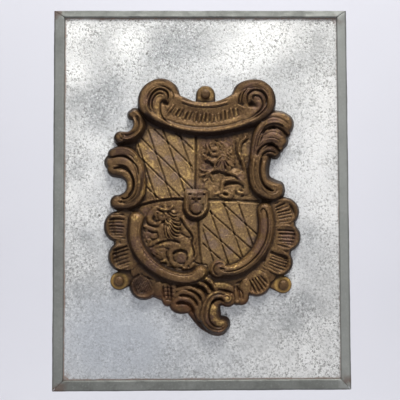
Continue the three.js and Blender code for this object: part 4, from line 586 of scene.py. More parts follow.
# the ribs and flourishes on the scrolls and the foot: [half width, height, stations...]
SCROLL_LINES = [
    # left volute: the bright ridge, the grooves and fine ribs inside it, the scoop
    [0.4, 0.7, [-24.6, 40.8], [-27.4, 43.4], [-29.2, 46.4], [-28.7, 50.2], [-27.4, 53.5], [-25.5, 55.8], [-22.8, 57.0], [-20.1, 56.5], [-18.0, 54.9], [-17.3, 52.6], [-17.8, 50.4], [-18.6, 49.2]],
    [0.38, -0.7, [-26.4, 43.8], [-28.1, 46.6], [-27.9, 50.2], [-26.7, 53.1], [-24.9, 55.1], [-22.7, 56.1], [-20.4, 55.6], [-18.7, 54.2], [-18.1, 52.4], [-18.6, 50.6]],
    [0.34, 0.45, [-26.0, 44.6], [-27.2, 46.6], [-27.1, 49.6], [-26.0, 52.4], [-24.4, 54.2], [-22.6, 54.9], [-20.8, 54.4], [-19.5, 53.0], [-19.2, 51.4]],
    [0.34, -0.55, [-25.6, 45.2], [-26.5, 47.2], [-26.4, 49.8], [-25.4, 52.0], [-23.9, 53.5], [-22.4, 54.0], [-20.9, 53.4]],
    [0.34, 0.35, [-25.8, 47.4], [-25.7, 49.8], [-24.8, 51.5], [-23.4, 52.8], [-21.8, 53.0], [-20.6, 52.0]],
    [1.4, 0.3, [-22.6, 51.6], [-24.0, 48.6], [-23.8, 45.0], [-22.6, 42.2], [-20.4, 39.8]],
    [0.42, -0.75, [-21.4, 50.4], [-22.2, 47.8], [-22.0, 44.4], [-20.8, 41.4], [-18.4, 39.0], [-15.6, 37.6]],
    [0.34, 0.4, [-16.5, 50.6], [-16.2, 52.8], [-16.9, 54.6]], [0.34, -0.4, [-15.8, 50.8], [-15.4, 53.0], [-16.0, 55.0]], [0.3, 0.3, [-14.9, 51.0], [-14.6, 53.0]],
    # right volute: the hook, the dark groove round it, ribs at the left end
    [0.36, 0.45, [22.8, 49.6], [22.1, 51.8], [22.7, 54.9], [25.2, 57.1], [28.0, 57.5], [31.2, 56.5], [33.5, 53.6], [34.2, 50.0], [33.2, 46.4], [30.6, 43.5], [27.2, 41.1], [23.4, 39.3]],
    [0.38, -0.7, [23.7, 49.4], [23.0, 51.7], [23.5, 54.3], [25.6, 56.2], [27.9, 56.6], [30.6, 55.7], [32.7, 53.2], [33.3, 50.0], [32.4, 46.9], [30.0, 44.3], [26.8, 42.1]],
    [0.36, 0.55, [26.0, 50.9], [25.1, 52.0], [25.1, 53.4], [26.2, 54.4], [28.4, 54.5], [30.5, 53.3], [31.8, 50.9], [31.7, 48.1], [30.4, 45.6], [27.8, 43.3], [24.6, 41.5], [20.6, 39.8]],
    [0.34, -0.5, [26.6, 51.2], [26.0, 52.2], [26.4, 53.4], [28.2, 53.6], [29.9, 52.6], [30.9, 50.6], [30.9, 48.3], [29.6, 46.0], [27.2, 44.0]],
    [1.1, 0.2, [28.4, 51.2], [29.2, 49.2], [28.6, 46.8], [26.6, 44.8], [23.6, 43.2]],
    [0.34, 0.45, [17.9, 49.8], [18.0, 52.3], [19.0, 55.3]], [0.34, 0.45, [19.4, 49.6], [19.5, 52.3], [20.4, 55.2], [22.2, 57.4]], [0.34, 0.45, [20.9, 49.6], [20.9, 52.2], [21.6, 54.8], [23.4, 57.2]],
    [0.34, -0.5, [18.6, 49.6], [18.7, 52.3], [19.7, 55.2]], [0.34, -0.5, [20.2, 49.6], [20.2, 52.2], [21.0, 55.0], [22.8, 57.2]],
    # the banner's rims: fine lines along the top moulding, and one above the sharp foot
    [0.36, -0.35, [-11.5, 49.2], [-6, 47.4], [0.8, 46.7], [7.6, 47.3], [13.4, 49.0]],
    [0.36, 0.3, [-11.5, 50.2], [-6, 48.5], [0.8, 47.8], [7.6, 48.4], [13.4, 50.0]],
    [0.34, -0.3, [-11.0, 51.2], [-6, 49.6], [0.8, 49.0], [7.6, 49.5], [13.0, 51.0]],
    [0.4, -0.3, [-19.0, 40.6], [-13, 38.4], [-6, 37.1], [1, 36.7], [8.4, 37.4], [16, 39.0], [21.6, 41.4]],
    # small scroll, upper left
    [0.4, 0.5, [-35.8, 42.4], [-33.4, 42.1], [-31.3, 39.6], [-31.0, 36.8], [-32.4, 33.6], [-35.2, 31], [-38.6, 29.6], [-41.3, 30.2], [-43, 32.4]],
    [0.4, -0.25, [-36.4, 41.0], [-34.4, 40.4], [-33.2, 38], [-34.0, 34.8], [-36.6, 32.6], [-39.4, 31.8], [-41.6, 32.4]],
    [0.4, -0.6, [-42.6, 32.4], [-41.2, 31.6], [-41.4, 30.2], [-42.8, 29.8]],
    [0.4, -0.6, [-42.6, -0.8], [-41.0, -1.0], [-40.6, -2.2], [-41.8, -3.0], [-43.2, -2.4]],
    # left scroll
    [0.38, -0.85, [-47, 19.9], [-43, 20.8], [-39, 20.2], [-37, 19], [-35.5, 17.8], [-33.5, 15], [-32.8, 11]],
    [0.4, -0.75, [-46, 14.3], [-43, 14.8], [-40.4, 14.3], [-37.8, 12.7], [-35.9, 9.8], [-35.2, 6.4], [-36.0, 2.8], [-38.0, 0.2]],
    [0.36, 0.5, [-46.6, 15.2], [-43, 15.8], [-40.2, 15.4], [-37.4, 13.6], [-35.0, 10.3], [-34.1, 6.2], [-35.2, 1.6], [-37.6, -1.1], [-41, -2.2]],
    [0.9, 0.4, [-45.6, 13.2], [-42.6, 12.9], [-40.2, 12.1]],
    [0.4, 0.35, [-45.8, 24.2], [-42, 25.0], [-38, 24.2], [-34.6, 21.4], [-32.0, 17.2]],
    [0.45, -0.45, [-38.6, 22.2], [-35.9, 20.2], [-33.9, 17.4]],
    [0.4, 0.3, [-33.2, 26.6], [-32.4, 22.6], [-31.0, 18.4], [-30.0, 13.4]],
    [0.4, -0.4, [-34.2, 25.2], [-33.2, 21.6], [-31.8, 17.4]],
    [0.45, -0.5, [-31.4, 9.6], [-31.0, 5.8], [-31.9, 1.8], [-34.2, -1.2], [-37.4, -3.2], [-41, -3.6]],
    # right-hand scroll group
    [0.5, -1.15, [30.6, 33.2], [32.2, 35.6], [34.8, 37.3], [38.0, 37.5], [41.0, 36.3], [43.2, 34.4], [45.0, 32.8]],
    [0.34, -0.4, [29.6, 33.0], [31.4, 36.2], [34.6, 38.6], [38.4, 39.0], [42.0, 37.6]],
    [0.5, 0.45, [30.6, 36.6], [32.6, 38.6], [36.0, 39.8], [39.6, 39.8], [42.6, 38.2]],
    [0.45, 0.45, [30.8, 37.0], [33.4, 38.9], [37.4, 39.8], [41.2, 38.9], [44.2, 36.6]],
    [0.45, -0.4, [30.8, 40.2], [34.2, 42.2], [38.2, 42.6], [42.6, 41.0], [45.4, 38.4]],
    [0.5, -1.15, [28.4, 22.4], [29.8, 25.6], [32.4, 28.0], [35.4, 28.8], [38.0, 27.6], [39.6, 26.0], [40.8, 24.6]],
    [0.4, -0.9, [31.0, 21.8], [32.2, 23.6], [34.4, 24.7], [36.8, 24.5], [38.4, 23.6]],
    [0.34, -0.35, [29.6, 26.8], [31.8, 30.2], [35.4, 31.8], [39.2, 31.0], [41.6, 28.8]],
    [0.34, -0.3, [29.8, 30.0], [32.0, 33.2], [35.4, 34.9], [39.4, 34.4], [42.4, 32.4]],
    [0.4, 0.45, [29.8, 28.2], [32.4, 30.6], [36.4, 31.2], [40.2, 29.8]],
    [0.36, 0.5, [29.4, 20.6], [30.6, 23.4], [33.0, 25.6], [36.0, 26.3], [38.4, 25.2], [39.2, 24.0]],
    [0.4, 0.4, [29.7, 21.4], [29.2, 17.9], [29.0, 14.3], [29.6, 10], [31.0, 6.4], [33.3, 3.8], [36.1, 2.3], [38.6, 2.9], [40.0, 4.3]],
    [0.4, -0.6, [31.0, 21.0], [30.3, 17.6], [30.2, 13.8], [30.9, 10.0], [32.6, 6.9], [35.2, 4.9], [37.4, 4.2]],
    [0.9, 0.4, [32.6, 19.4], [32.0, 15.4], [32.3, 11.4], [33.8, 8.4], [36.4, 6.8]],
    [0.4, 0.35, [36.2, 6.6], [37.6, 7.2], [39.2, 6.4], [39.2, 5.0]],
    # C-scroll, lower left
    [0.4, -0.5, [-3.5, -32.6], [-1.5, -34.0], [1.2, -34.4], [3.5, -34.8], [4.3, -37.5]],
    # C-scroll, lower right: outer ridge and the curl
    [0.4, 0.15, [35.5, -12], [34.7, -20], [32, -27.1], [27.5, -33.1], [21, -38.0], [15.0, -39.8]],
    [0.5, 0.6, [8.4, -37.2], [8.9, -35.8], [10.4, -35.2], [12.4, -36.0]],
    [0.5, -1.0, [12.8, -36.8], [11.2, -36.3], [10.0, -36.6]],
    [0.55, -0.8, [12.4, -34.4], [10.4, -33.6], [8.2, -34.4], [6.9, -36.4], [7.4, -38.6], [9.4, -40.0]],
    [0.38, -0.75, [34.3, -10.4], [33.8, -7.2], [32.3, -5.2], [31.0, -5.9], [30.8, -8.0]],
    [0.45, 0.4, [2.2, -36.6], [2.6, -38.4], [1.2, -40.6]],
    [0.45, 0.45, [3.6, -34.8], [4.4, -36.4], [4.3, -38.2]],
    [0.4, 0.4, [-31.2, -8.6], [-29.9, -10.2], [-30.0, -12.6]],
    # foot: the hollows between the folds, slots, ribs
    [0.6, -1.15, [-6.4, -47.8], [-3.2, -48.7], [-0.5, -50.6], [0.8, -53.0]],
    [0.65, -1.2, [-10.6, -50.8], [-8.2, -50.5], [-5, -51.1], [-2.4, -53.0], [-1.0, -55.8]],
    [0.7, -1.2, [-12.2, -55.0], [-9.5, -54.3], [-6.4, -54.7], [-3.8, -56.4], [-2.6, -59.0]],
    [0.6, -1.15, [-1.4, -45.8], [1.4, -46.9], [3.4, -49.0]],
    [0.62, -1.2, [2.0, -43.6], [4.6, -45.2], [6.6, -47.6]],
    [0.5, -0.8, [-4.6, -45.6], [-2.2, -46.0], [-0.4, -47.4]],
    [0.45, 0.5, [-5, -45.2], [-1, -43.9], [2.0, -42.6], [4.2, -41.2]],
    [0.45, 0.5, [4.8, -41.6], [6.8, -44.6], [8.4, -47.4]],
    [0.45, 0.4, [-12.0, -49.6], [-9.0, -48.0], [-5.0, -48.6], [-1.6, -50.8]],
    [0.45, -0.8, [-18.9, -45.6], [-18.8, -49], [-18.2, -52.8]],
    [0.45, -0.8, [-16.7, -45.4], [-16.5, -49], [-16.0, -53.0]],
    [0.45, -0.8, [-14.9, -46.2], [-14.7, -50.0], [-14.4, -53.4]],
    [0.36, -0.45, [-19.4, -47.2], [-16.6, -46.6], [-13.0, -47.4]], [0.36, -0.45, [-19.2, -49.2], [-16.4, -48.7], [-13.0, -49.4]],
    [0.36, -0.45, [-19.0, -51.2], [-16.2, -50.9], [-13.0, -51.6]], [0.36, -0.45, [-18.4, -53.0], [-16.0, -53.0], [-13.4, -53.6]],
    [0.5, -1.1, [13.0, -53.4], [10.4, -52.0], [7.9, -52.6], [6.0, -54.4]],
    [0.42, -0.5, [7.0, -53.0], [5.4, -55.6], [4.9, -59.0], [5.2, -62.2], [6.6, -65.0], [9.0, -66.6], [12.0, -66.5]],
    [1.0, 0.35, [8.4, -56.0], [7.3, -59.2], [8.1, -62.6], [10.4, -64.3], [13.0, -64.4]],
    [0.35, 0.35, [0.9, -57.6], [0.7, -61.4], [2.0, -65.6], [5.6, -69.0], [10.0, -69.6]],
    [0.5, -0.7, [16.0, -49.4], [15.2, -48.2], [11.6, -47.6]],
    [0.35, -0.6, [12.8, -51.2], [13.8, -50.4], [15.2, -51.0], [15.0, -52.4], [13.8, -52.6]],
    [0.5, -0.9, [17.6, -45.2], [18.0, -47.4], [17.4, -49.2]],
    [0.5, -0.9, [19.0, -45.0], [20.4, -48.2], [20.8, -51.8]],
    [0.45, -0.7, [21.0, -47.0], [22.2, -49.4], [22.4, -52.4]],
    [0.5, -0.6, [18.2, -44.2], [20.4, -43.4], [22.0, -42.6]],
    [0.6, -0.7, [-31, -39.7], [-27.6, -41.6], [-24, -43]],
]
# banner strokes: slanting nicks in groups, [offset along, offset up, length, lean in degrees]
STROKES = [
    [[-2.4, 0.3, 5.2, 9], [0.0, -0.3, 4.4, 9], [2.3, 0.4, 5.4, 9]],
    [[-1.6, -0.4, 4.2, 9], [0.8, 0.2, 5.2, 9]],
    [[-2.2, 0.3, 5.2, 9], [0.2, -0.4, 4.0, 9], [2.2, 0.2, 5.0, 9]],
    [[-1.9, 0.2, 5.2, 9], [0.6, -0.4, 4.2, 9]],
    [[-2.3, -0.3, 4.4, 9], [0.0, 0.4, 5.4, 9], [2.1, -0.2, 4.4, 9]],
    [[-1.8, 0.3, 5.0, 9], [0.6, -0.3, 4.2, 9]],
]


def carve(step):
    s = Relief(step)
    X, Z = s.X, s.Z
    for m in WEB:
        s.moulding({**m, "left": 2, "right": 2, "round": 0, "crown": 0})
    field = s.inside.astype(float)
    # the quarters' lozenge grooves; the left one ends on the curved line, the right one under it
    left_line = np.interp(X, [-33.5, -22, -9, 4], [-5.1, -2.1, -1.0, -0.8])
    centre = (np.hypot((X + 2.6) / 7.4, (Z + 3.9) / 8.6) > 1).astype(float)
    for q in LOZENGES:
        x0, x1, z = q["box"]
        if z > 0:
            m = np.clip((X - x0) * 2, 0, 1) * np.clip((x1 - X) * 2, 0, 1) * np.clip((Z - left_line - 0.6) * 2, 0, 1)
        else:
            m = np.clip((X - x0) * 2, 0, 1) * np.clip((x1 - X) * 2, 0, 1) * np.clip((-1.6 - Z) * 2, 0, 1)
        for angle, offsets in q["families"]:
            a = np.radians(angle)
            across = -np.sin(a) * X + np.cos(a) * Z
            for o in offsets:
                wob = 0.12 * value_noise(X, Z, 6.0, 11)
                d = across - o + wob
                s.H += m * field * centre * (-0.75 * np.exp(-((d / 0.4) ** 2)) + 0.22 * np.exp(-(((d + 0.8) / 0.45) ** 2)) + 0.08 * np.exp(-(((d - 0.8) / 0.45) ** 2)))
    s.line([[-3.3, 33], [-3.2, 20], [-3.3, 5]], 0.55, -0.85, 0)
    s.line([[-4.4, 33], [-4.3, 20], [-4.4, 5]], 0.5, 0.35, 0)
    s.line([[-1.4, -12], [-1.0, -20], [-0.4, -27], [0.6, -34]], 0.55, -0.8, 0)
    s.line([[-0.2, -12], [0.2, -20], [0.8, -27], [1.8, -34]], 0.5, 0.35, 0)
    s.line([[-33.5, -5.1], [-28, -3.5], [-22, -2.1], [-15, -1.1], [-9, -1.0]], 0.6, -1.0, 0)
    s.line([[-33.5, -3.9], [-28, -2.3], [-22, -0.9], [-15, 0.1], [-9, 0.2]], 0.5, 0.45, 0)
    s.line([[4.2, -0.9], [12, -0.8], [20, -1.1], [30, -1.4]], 0.75, -1.0, 0)
    s.line([[4.2, -2.3], [12, -2.2], [20, -2.5], [29, -2.8]], 0.5, 0.35, 0)
    for spine in LIONS:
        s.limb([[p[0], p[1], p[2] * (1.18 if p[2] < 1.5 else 1.04), p[3] * 0.68] for p in spine])
    for width, height, *P in UR + LL:
        s.line(P, width * (0.85 if height < -1.4 else 1), height * (0.58 if height < -1.4 else 0.85), 1.4)
    # manes
    for width, height, *P in MANE_UR:
        s.line(P, width, height * 0.5, 1.0)
    root = np.array([10.6, 21.4])
    for tip in ((6.8, 16.2), (8.4, 14.9), (10.4, 14.2), (12.5, 14.3), (14.5, 15.2), (16.2, 16.9)):
        reach = np.array(tip) - root
        across = np.array([-reach[1], reach[0]]) * 0.11
        s.line([root + reach * 0.15, root + reach * 0.62 + across, root + reach * 0.95 + across * 0.7, root + reach * 1.04, root + reach * 0.95 - across * 0.7, root + reach * 0.62 - across, root + reach * 0.15], 0.3, 0.5, 0.6)
    for k, P in enumerate(MANE_LL):
        s.line(P, 0.42, 0.75, 1.0)
        s.line([[p[0] + 0.3, p[1] + 0.75] for p in P], 0.36, -0.75, 1.0)
    for x, z in ((1.8, 21.2), (2.8, 20.4), (-0.4, 21.8)):
        s.pit(x, z, 0.5, -0.6)
    for x, z, r, d in ((9.2, 26.6, 0.45, 0.8), (-22.6, -8.4, 0.45, 0.8), (14.5, 25, 0.5, 0.6), (-27.3, -21.4, 0.6, 0.5), (-29.6, -16.4, 0.5, 0.6)):
        s.pit(x, z, r, d)
    # centre shield: nearly flush at its flat top, standing proud at its round foot
    cx, half, top, bottom = -2.8, 6.4, 4.3, -11.3
    inside = np.where(Z > bottom + half, np.minimum(half - np.abs(X - cx), top - Z), half - np.hypot(X - cx, Z - bottom - half))
    inside = np.where((Z > top - 2.5) & (inside < 2.5), np.minimum(inside, 2.5 - np.hypot(np.maximum(2.5 - (half - np.abs(X - cx)), 0), np.maximum(2.5 - (top - Z), 0))), inside)
    ease = np.clip(inside / 1.5, 0, 1)
    lift = np.interp(Z, [-11.5, -4, 4.5], [2.1, 1.5, 0.7])
    E = s.F + lift * ease * ease * (3 - 2 * ease) + 0.3 * np.exp(-(((inside - 1.5) / 0.8) ** 2)) - 0.45 * np.exp(-(((inside - 3.1) / 0.9) ** 2)) * np.clip((-0.5 - Z) / 2, 0.3, 1)
    r = np.hypot(X + 2.7, Z + 5.6)
    E = E + 1.8 * np.sqrt(np.clip(1 - (r / 2.9) ** 2, 0, 1))
    s.H = np.where(inside > 0, E, s.H)
    low = np.clip((1 - Z) / 9, 0.25, 1)
    s.H = s.H - 0.95 * low * np.exp(-(((inside + 0.35) / 0.5) ** 2)) * (inside > -2)
    s.body = np.where(inside > 0, 0.6, s.body)
    for width, height, *P in [
        [0.5, 1.0, [-2.8, 2.4], [-2.8, -1.9]], [0.45, 0.85, [-4.9, 0.2], [-0.3, 0.2]],
        [0.36, -1.0, [-5.3, -0.85], [-3.7, -0.85]], [0.36, -1.0, [-1.9, -0.85], [-0.1, -0.8]],
        [0.34, -0.9, [-6.7, 1.65], [-5.1, 1.65]], [0.36, -0.9, [0.5, 1.6], [2.2, 1.6]],
        [0.45, 0.4, [-6.6, 2.5], [-5.2, 2.5]], [0.45, 0.45, [0.6, 2.5], [2.2, 2.5]],
        [0.36, -0.7, [2.2, 1.6], [2.2, -2.5], [2.0, -6.0]], [0.4, 0.35, [3.0, 1.6], [3.0, -2.5], [2.6, -6.4]],
        [0.45, -0.55, [-5.2, -6.6], [-4.4, -8.0], [-2.7, -8.9], [-1.0, -8.4], [0.2, -7.2]],
        [0.45, -0.6, [0.6, -3.0], [1.1, -4.6], [0.8, -6.6]], [0.4, -0.45, [-5.9, -3.6], [-6.2, -5.6], [-5.6, -7.4]],
    ]:
        s.line(P, width, height, 0.5)
    for e in SHELLS:
        s.shell(e)
    for width, height, *P in FLUTES:
        s.line(P, width * 0.92, height * 0.9, 1.0)
    for m in LUGS:
        s.moulding({**m, "left": 3, "right": 3, "round": 0.3, "crown": 0.02})
    for e in FOOT_KNOBS:
        s.knob(e)
    for m in FOOT:
        s.moulding(m)
    for m in SCROLLS:
        s.moulding(m)
    for e in SCROLL_KNOBS:
        s.knob(e)
    for e in VOLUTES:
        s.knob(e)
    for m in BANNER:
        s.moulding(m)
    # fine ribs along the flowing parts, offset from their spines
    for width, height, *P in SCROLL_LINES:
        s.line(P, width, height * 1.25, 1.4)
    for cx, cz, radii, a0, a1 in ((-22.9, 51.0, (7.2, 8.0, 8.8, 9.5), 5, 205), (26.7, 51.6, (7.5, 8.3, 9.1, 9.8), -50, 172)):
        for q, r in enumerate(radii):
            P = [[cx + r * np.cos(np.radians(a)), cz + r * np.sin(np.radians(a))] for a in np.linspace(a0, a1, 13)]
            s.line(P, 0.34, (-0.34, -0.26, -0.3, -0.2)[q], 2.5)
    for k in range(5):
        s.line([[26.3 + 0.9 * k, 22 + 1.6 * k], [27.4 + 0.9 * k, 29 + 0.8 * k], [29.2 + 0.9 * k, 34.2 + 0.4 * k], [31.8 + 0.9 * k, 38.2 - 0.3 * k]], 0.36, 0.35 if k % 2 else -0.55, 2.5)
    for k in range(4):
        s.line([[26.0 + 0.95 * k, 20.5], [25.4 + 0.95 * k, 14.5], [26.2 + 0.95 * k, 8.6], [28.6 + 0.9 * k, 4.2]], 0.34, 0.28 if k % 2 else -0.42, 2.5)
    for x, z, r, d in ((-20.2, 49.5, 1.3, 2.3), (-18.8, 48.7, 0.9, 1.2), (25.5, 49.4, 1.35, 2.3), (24.2, 49.0, 0.9, 1.0), (27.3, 48.6, 1.0, 0.9), (20.4, 49.0, 1.0, 0.8), (18.9, 49.2, 0.7, 0.6)):
        s.pit(x, z, r, d)
    # banner strokes on the hollow panel
    for i, group in enumerate(STROKES):
        x = -14.2 + i * 6.2
        z = 41.6 + 0.0135 * (x - 0.8) ** 2
        t = np.degrees(np.arctan(0.027 * (x - 0.8)))
        for dx, dz, length, lean in group:
            a = np.radians(90 + t - lean)
            c = np.array([x + dx, z + dz + dx * np.tan(np.radians(t))])
            v = np.array([np.cos(a), np.sin(a)]) * length / 2
            s.line([c - v, c + v], 0.62, 0.5, 0.7)
            for o, w, h in ((np.array([0.95, -0.1]), 0.42, -0.4), (np.array([-0.95, 0.1]), 0.42, -0.25)):
                s.line([c - v + o, c + v + o], w, h, 0.7)
    for P in ([[-16.4, 46.4], [-18.0, 44.2], [-19.3, 41.9]], [[18.3, 49.0], [20.0, 47.9], [21.6, 46.4]], [[-20.0, 47.8], [-18.6, 46.6], [-18.8, 45.2]]):
        s.line(P, 0.5, 0.6, 0.8)
    # casting grain: coarse on the fields, finer elsewhere
    open_field = field * (1 - np.clip(blurred(s.cover, 0.4 / step), 0, 1))
    grain = 0.55 * value_noise(X, Z, 0.85, 1) + 0.45 * value_noise(X, Z, 0.5, 2)
    soft = 0.6 * value_noise(X, Z, 3.1, 3) + 0.4 * value_noise(X, Z, 1.6, 4)
    lively = np.clip((X + 2) / 2, 0, 1) * np.clip(Z / 2, 0, 1) + np.clip((-2 - X) / 2, 0, 1) * np.clip((-3 - Z) / 2, 0, 1)
    mottle = value_noise(X, Z, 1.35, 5) * 0.6 + value_noise(X, Z, 0.8, 6) * 0.4
    s.H = s.H + (0.08 + 0.07 * open_field) * grain + 0.1 * soft + 0.26 * lively * s.inside * (1 - s.body * 0.45) * mottle + 0.045 * (1 - s.inside) * mottle
    s.H = np.where(s.H > 7.1, 7.1 + 0.8 * np.tanh((s.H - 7.1) / 0.8), s.H)
    s.field = open_field
    return s


# ------------------------------------------------------------------ mesh helpers
def to_plate(x, z):
    """Casting's own frame to the plaque's frame, both in mm."""
    c, s = math.cos(TURN), math.sin(TURN)
    return x * c + z * s, -x * s + z * c


def new_mesh(name, verts, faces, smooth=True):
    me = bpy.data.meshes.new(name)
    me.from_pydata([tuple(v) for v in verts], [], [tuple(f) for f in faces])
    me.validate()
    me.update()
    if smooth:
        me.polygons.foreach_set("use_smooth", np.ones(len(me.polygons), bool))
    ob = bpy.data.objects.new(name, me)
    scene.collection.objects.link(ob)
    return ob


def positions(ob):
    co = np.zeros(len(ob.data.vertices) * 3, np.float32)
    ob.data.vertices.foreach_get("co", co)
    return co.reshape(-1, 3).astype(float)


def attribute(ob, name, values):
    a = ob.data.attributes.get(name) or ob.data.attributes.new(name, "FLOAT", "POINT")
    a.data.foreach_set("value", np.asarray(values, np.float32))


def sample(A, s, x, z):
    """Bilinear look-up of a grid at points in the casting's own frame."""
    fi, fj = (x - s.xs[0]) / s.step, (z - s.zs[0]) / s.step
    i = np.clip(np.floor(fi).astype(int), 0, A.shape[1] - 2)
    j = np.clip(np.floor(fj).astype(int), 0, A.shape[0] - 2)
    a, b = np.clip(fi - i, 0, 1), np.clip(fj - j, 0, 1)
    return (A[j, i] * (1 - a) + A[j, i + 1] * a) * (1 - b) + (A[j + 1, i] * (1 - a) + A[j + 1, i + 1] * a) * b


def flooded(mask, seeds):
    """The part of a mask that is joined to the seeds."""
    got = seeds & mask
    while True:
        n = got.copy()
        n[1:] |= got[:-1]; n[:-1] |= got[1:]; n[:, 1:] |= got[:, :-1]; n[:, :-1] |= got[:, 1:]
        n &= mask
        n[1:, 1:] |= n[:-1, :-1] & mask[1:, 1:]
        if (n == got).all():
            return got
        got = n


def casting_mesh(s):
    """One closed body from the relief: the top where it stands over CUT, its rim carried
    straight back, a flat rear face, and the nail holes open."""
    H, step = s.H, s.step
    f = np.clip(H - CUT, -3, 3)
    seed = np.zeros(f.shape, bool)
    seed[np.argmin(np.abs(s.zs - 10)), np.argmin(np.abs(s.xs))] = True
    solid = flooded(f > 0, seed)
    border = np.zeros(f.shape, bool)
    border[0] = border[-1] = border[:, 0] = border[:, -1] = True
    outside = flooded(~solid, border)
    f = np.where(outside, np.minimum(f, -0.05), np.maximum(f, 0.05))
    Hs = np.where(outside, H, np.maximum(H, CUT + 0.1))
    for x, z in NAILS.values():
        r = np.hypot(s.X - x, s.Z - z)
        f = np.where(r < HOLE_R + 1.0, (r - HOLE_R) * 1.5, f)
        Hs = np.where(r < HOLE_R + 0.6, np.maximum(Hs, 2.4), Hs)
    nz, nx = f.shape
    X, Z, Y = s.X.copy(), s.Z.copy(), Hs.copy()
    at_edge = np.clip(Hs, CUT, 3.0)
    sg = np.where(f > 0, 1, -1)
    # move grid points that lie close to the outline on to it
    best = np.full(f.shape, 0.33)
    bx, bz = np.zeros(f.shape), np.zeros(f.shape)
    for dx, dz in ((1, 0), (-1, 0), (0, 1), (0, -1), (1, 1), (-1, -1)):
        g = np.roll(np.roll(f, -dz, 0), -dx, 1)
        ok = (f > 0) != (g > 0)
        t = np.where(ok, f / np.where(ok, f - g, 1), 9)
        m = t < best
        best = np.where(m, t, best)
        bx, bz = np.where(m, dx * t * step, bx), np.where(m, dz * t * step, bz)
    snap = best < 0.33
    X, Z = X + np.where(snap, bx, 0), Z + np.where(snap, bz, 0)
    sg = np.where(snap, 0, sg)
    X, Z, Y, sg, ff = X.ravel(), Z.ravel(), Y.ravel(), sg.ravel(), f.ravel()
    near_hole = np.zeros(len(X), bool)
    for x, z in NAILS.values():
        near_hole |= np.hypot(X - x, Z - z) < HOLE_R + 0.5
    Y = np.where(sg == 0, np.where(near_hole, 2.5, CUT), Y)
    i, j = np.meshgrid(np.arange(nx - 1), np.arange(nz - 1))
    a = (j * nx + i).ravel()
    b, c, d = a + 1, a + nx + 1, a + nx
    T = np.concatenate([np.stack([a, b, c], 1), np.stack([a, c, d], 1)])
    S = sg[T]
    pos, neg = (S > 0).sum(1), (S < 0).sum(1)
    keep = T[(neg == 0) & (pos > 0)]
    mixed, MS = T[(neg > 0) & (pos > 0)], S[(neg > 0) & (pos > 0)]
    points = [np.stack([X, Z, Y], 1)]
    cuts, extra, tris = {}, [], [tuple(t) for t in keep.tolist()]

    def cut(p, q):
        k = (min(p, q), max(p, q))
        if k not in cuts:
            t = ff[p] / (ff[p] - ff[q]) if ff[p] != ff[q] else 0.5
            t = min(max(t, 0.02), 0.98)
            hole = near_hole[p] or near_hole[q]
            extra.append((X[p] + (X[q] - X[p]) * t, Z[p] + (Z[q] - Z[p]) * t, 2.5 if hole else CUT))
            cuts[k] = len(X) + len(extra) - 1
        return cuts[k]

    for t, sgn in zip(mixed.tolist(), MS.tolist()):
        poly = []
        for k in range(3):
            p, q = t[k], t[(k + 1) % 3]
            if sgn[k] >= 0:
                poly.append(p)
            if sgn[k] * sgn[(k + 1) % 3] < 0:
                poly.append(cut(p, q))
        for k in range(1, len(poly) - 1):
            tris.append((poly[0], poly[k], poly[k + 1]))
    P = np.concatenate([points[0], np.array(extra).reshape(-1, 3)])
    T = np.array(tris)
    # rim loops
    E = np.concatenate([T[:, [0, 1]], T[:, [1, 2]], T[:, [2, 0]]])
    n = len(P)
    code, rev = E[:, 0] * n + E[:, 1], E[:, 1] * n + E[:, 0]
    rim = E[~np.isin(code, rev)]
    follow = {int(p): int(q) for p, q in rim}
    loops, seen = [], set()
    for p in follow:
        if p in seen:
            continue
        loop = []
        while p not in seen:
            seen.add(p)
            loop.append(p)
            p = follow[p]
        loops.append(loop)
    loops.sort(key=len, reverse=True)
    loops = [l for l in loops if len(l) > 8]
    used = np.unique(T)
    index = np.full(len(P), -1)
    index[used] = np.arange(len(used))
    Q = P[used]
    x, z = to_plate(Q[:, 0], Q[:, 1])
    verts = [np.stack([x, -(PLATE_T + Q[:, 2]), z], 1)]
    faces = index[T].tolist()
    count = len(used)
    flat = []
    for loop in loops:
        L = P[loop]
        x, z = to_plate(L[:, 0], L[:, 1])
        verts.append(np.stack([x, np.full(len(x), -(PLATE_T + CAST_GAP)), z], 1))
        m = len(loop)
        top, rear = index[loop], count + np.arange(m)
        for k in range(m):
            p, q = int(top[k]), int(top[(k + 1) % m])
            r, t = int(rear[(k + 1) % m]), int(rear[k])
            faces.append((p, t, r, q))
        flat.append(([Vector((float(u), float(v), 0)) for u, v in zip(x, z)], rear))
        count += m
    order = np.concatenate([r for _, r in flat])
    for t in tessellate_polygon([l for l, _ in flat]):
        p, q, r = (int(order[k]) for k in t)
        faces.append((p, q, r))
    V = np.concatenate(verts) * MM
    return V, faces


def decimated(ob, target):
    """Fewer triangles where the surface is plain."""
    ob.data.calc_loop_triangles()
    have = len(ob.data.loop_triangles)
    if have > target:
        m = ob.modifiers.new("d", "DECIMATE")
        m.ratio = target / have
        dg = bpy.context.evaluated_depsgraph_get()
        me = bpy.data.meshes.new_from_object(ob.evaluated_get(dg))
        ob.modifiers.clear()
        old = ob.data
        ob.data = me
        bpy.data.meshes.remove(old)
    return ob


def fix_normals(ob):
    import bmesh
    bm = bmesh.new()
    bm.from_mesh(ob.data)
    bmesh.ops.recalc_face_normals(bm, faces=bm.faces)
    bm.to_mesh(ob.data)
    bm.free()


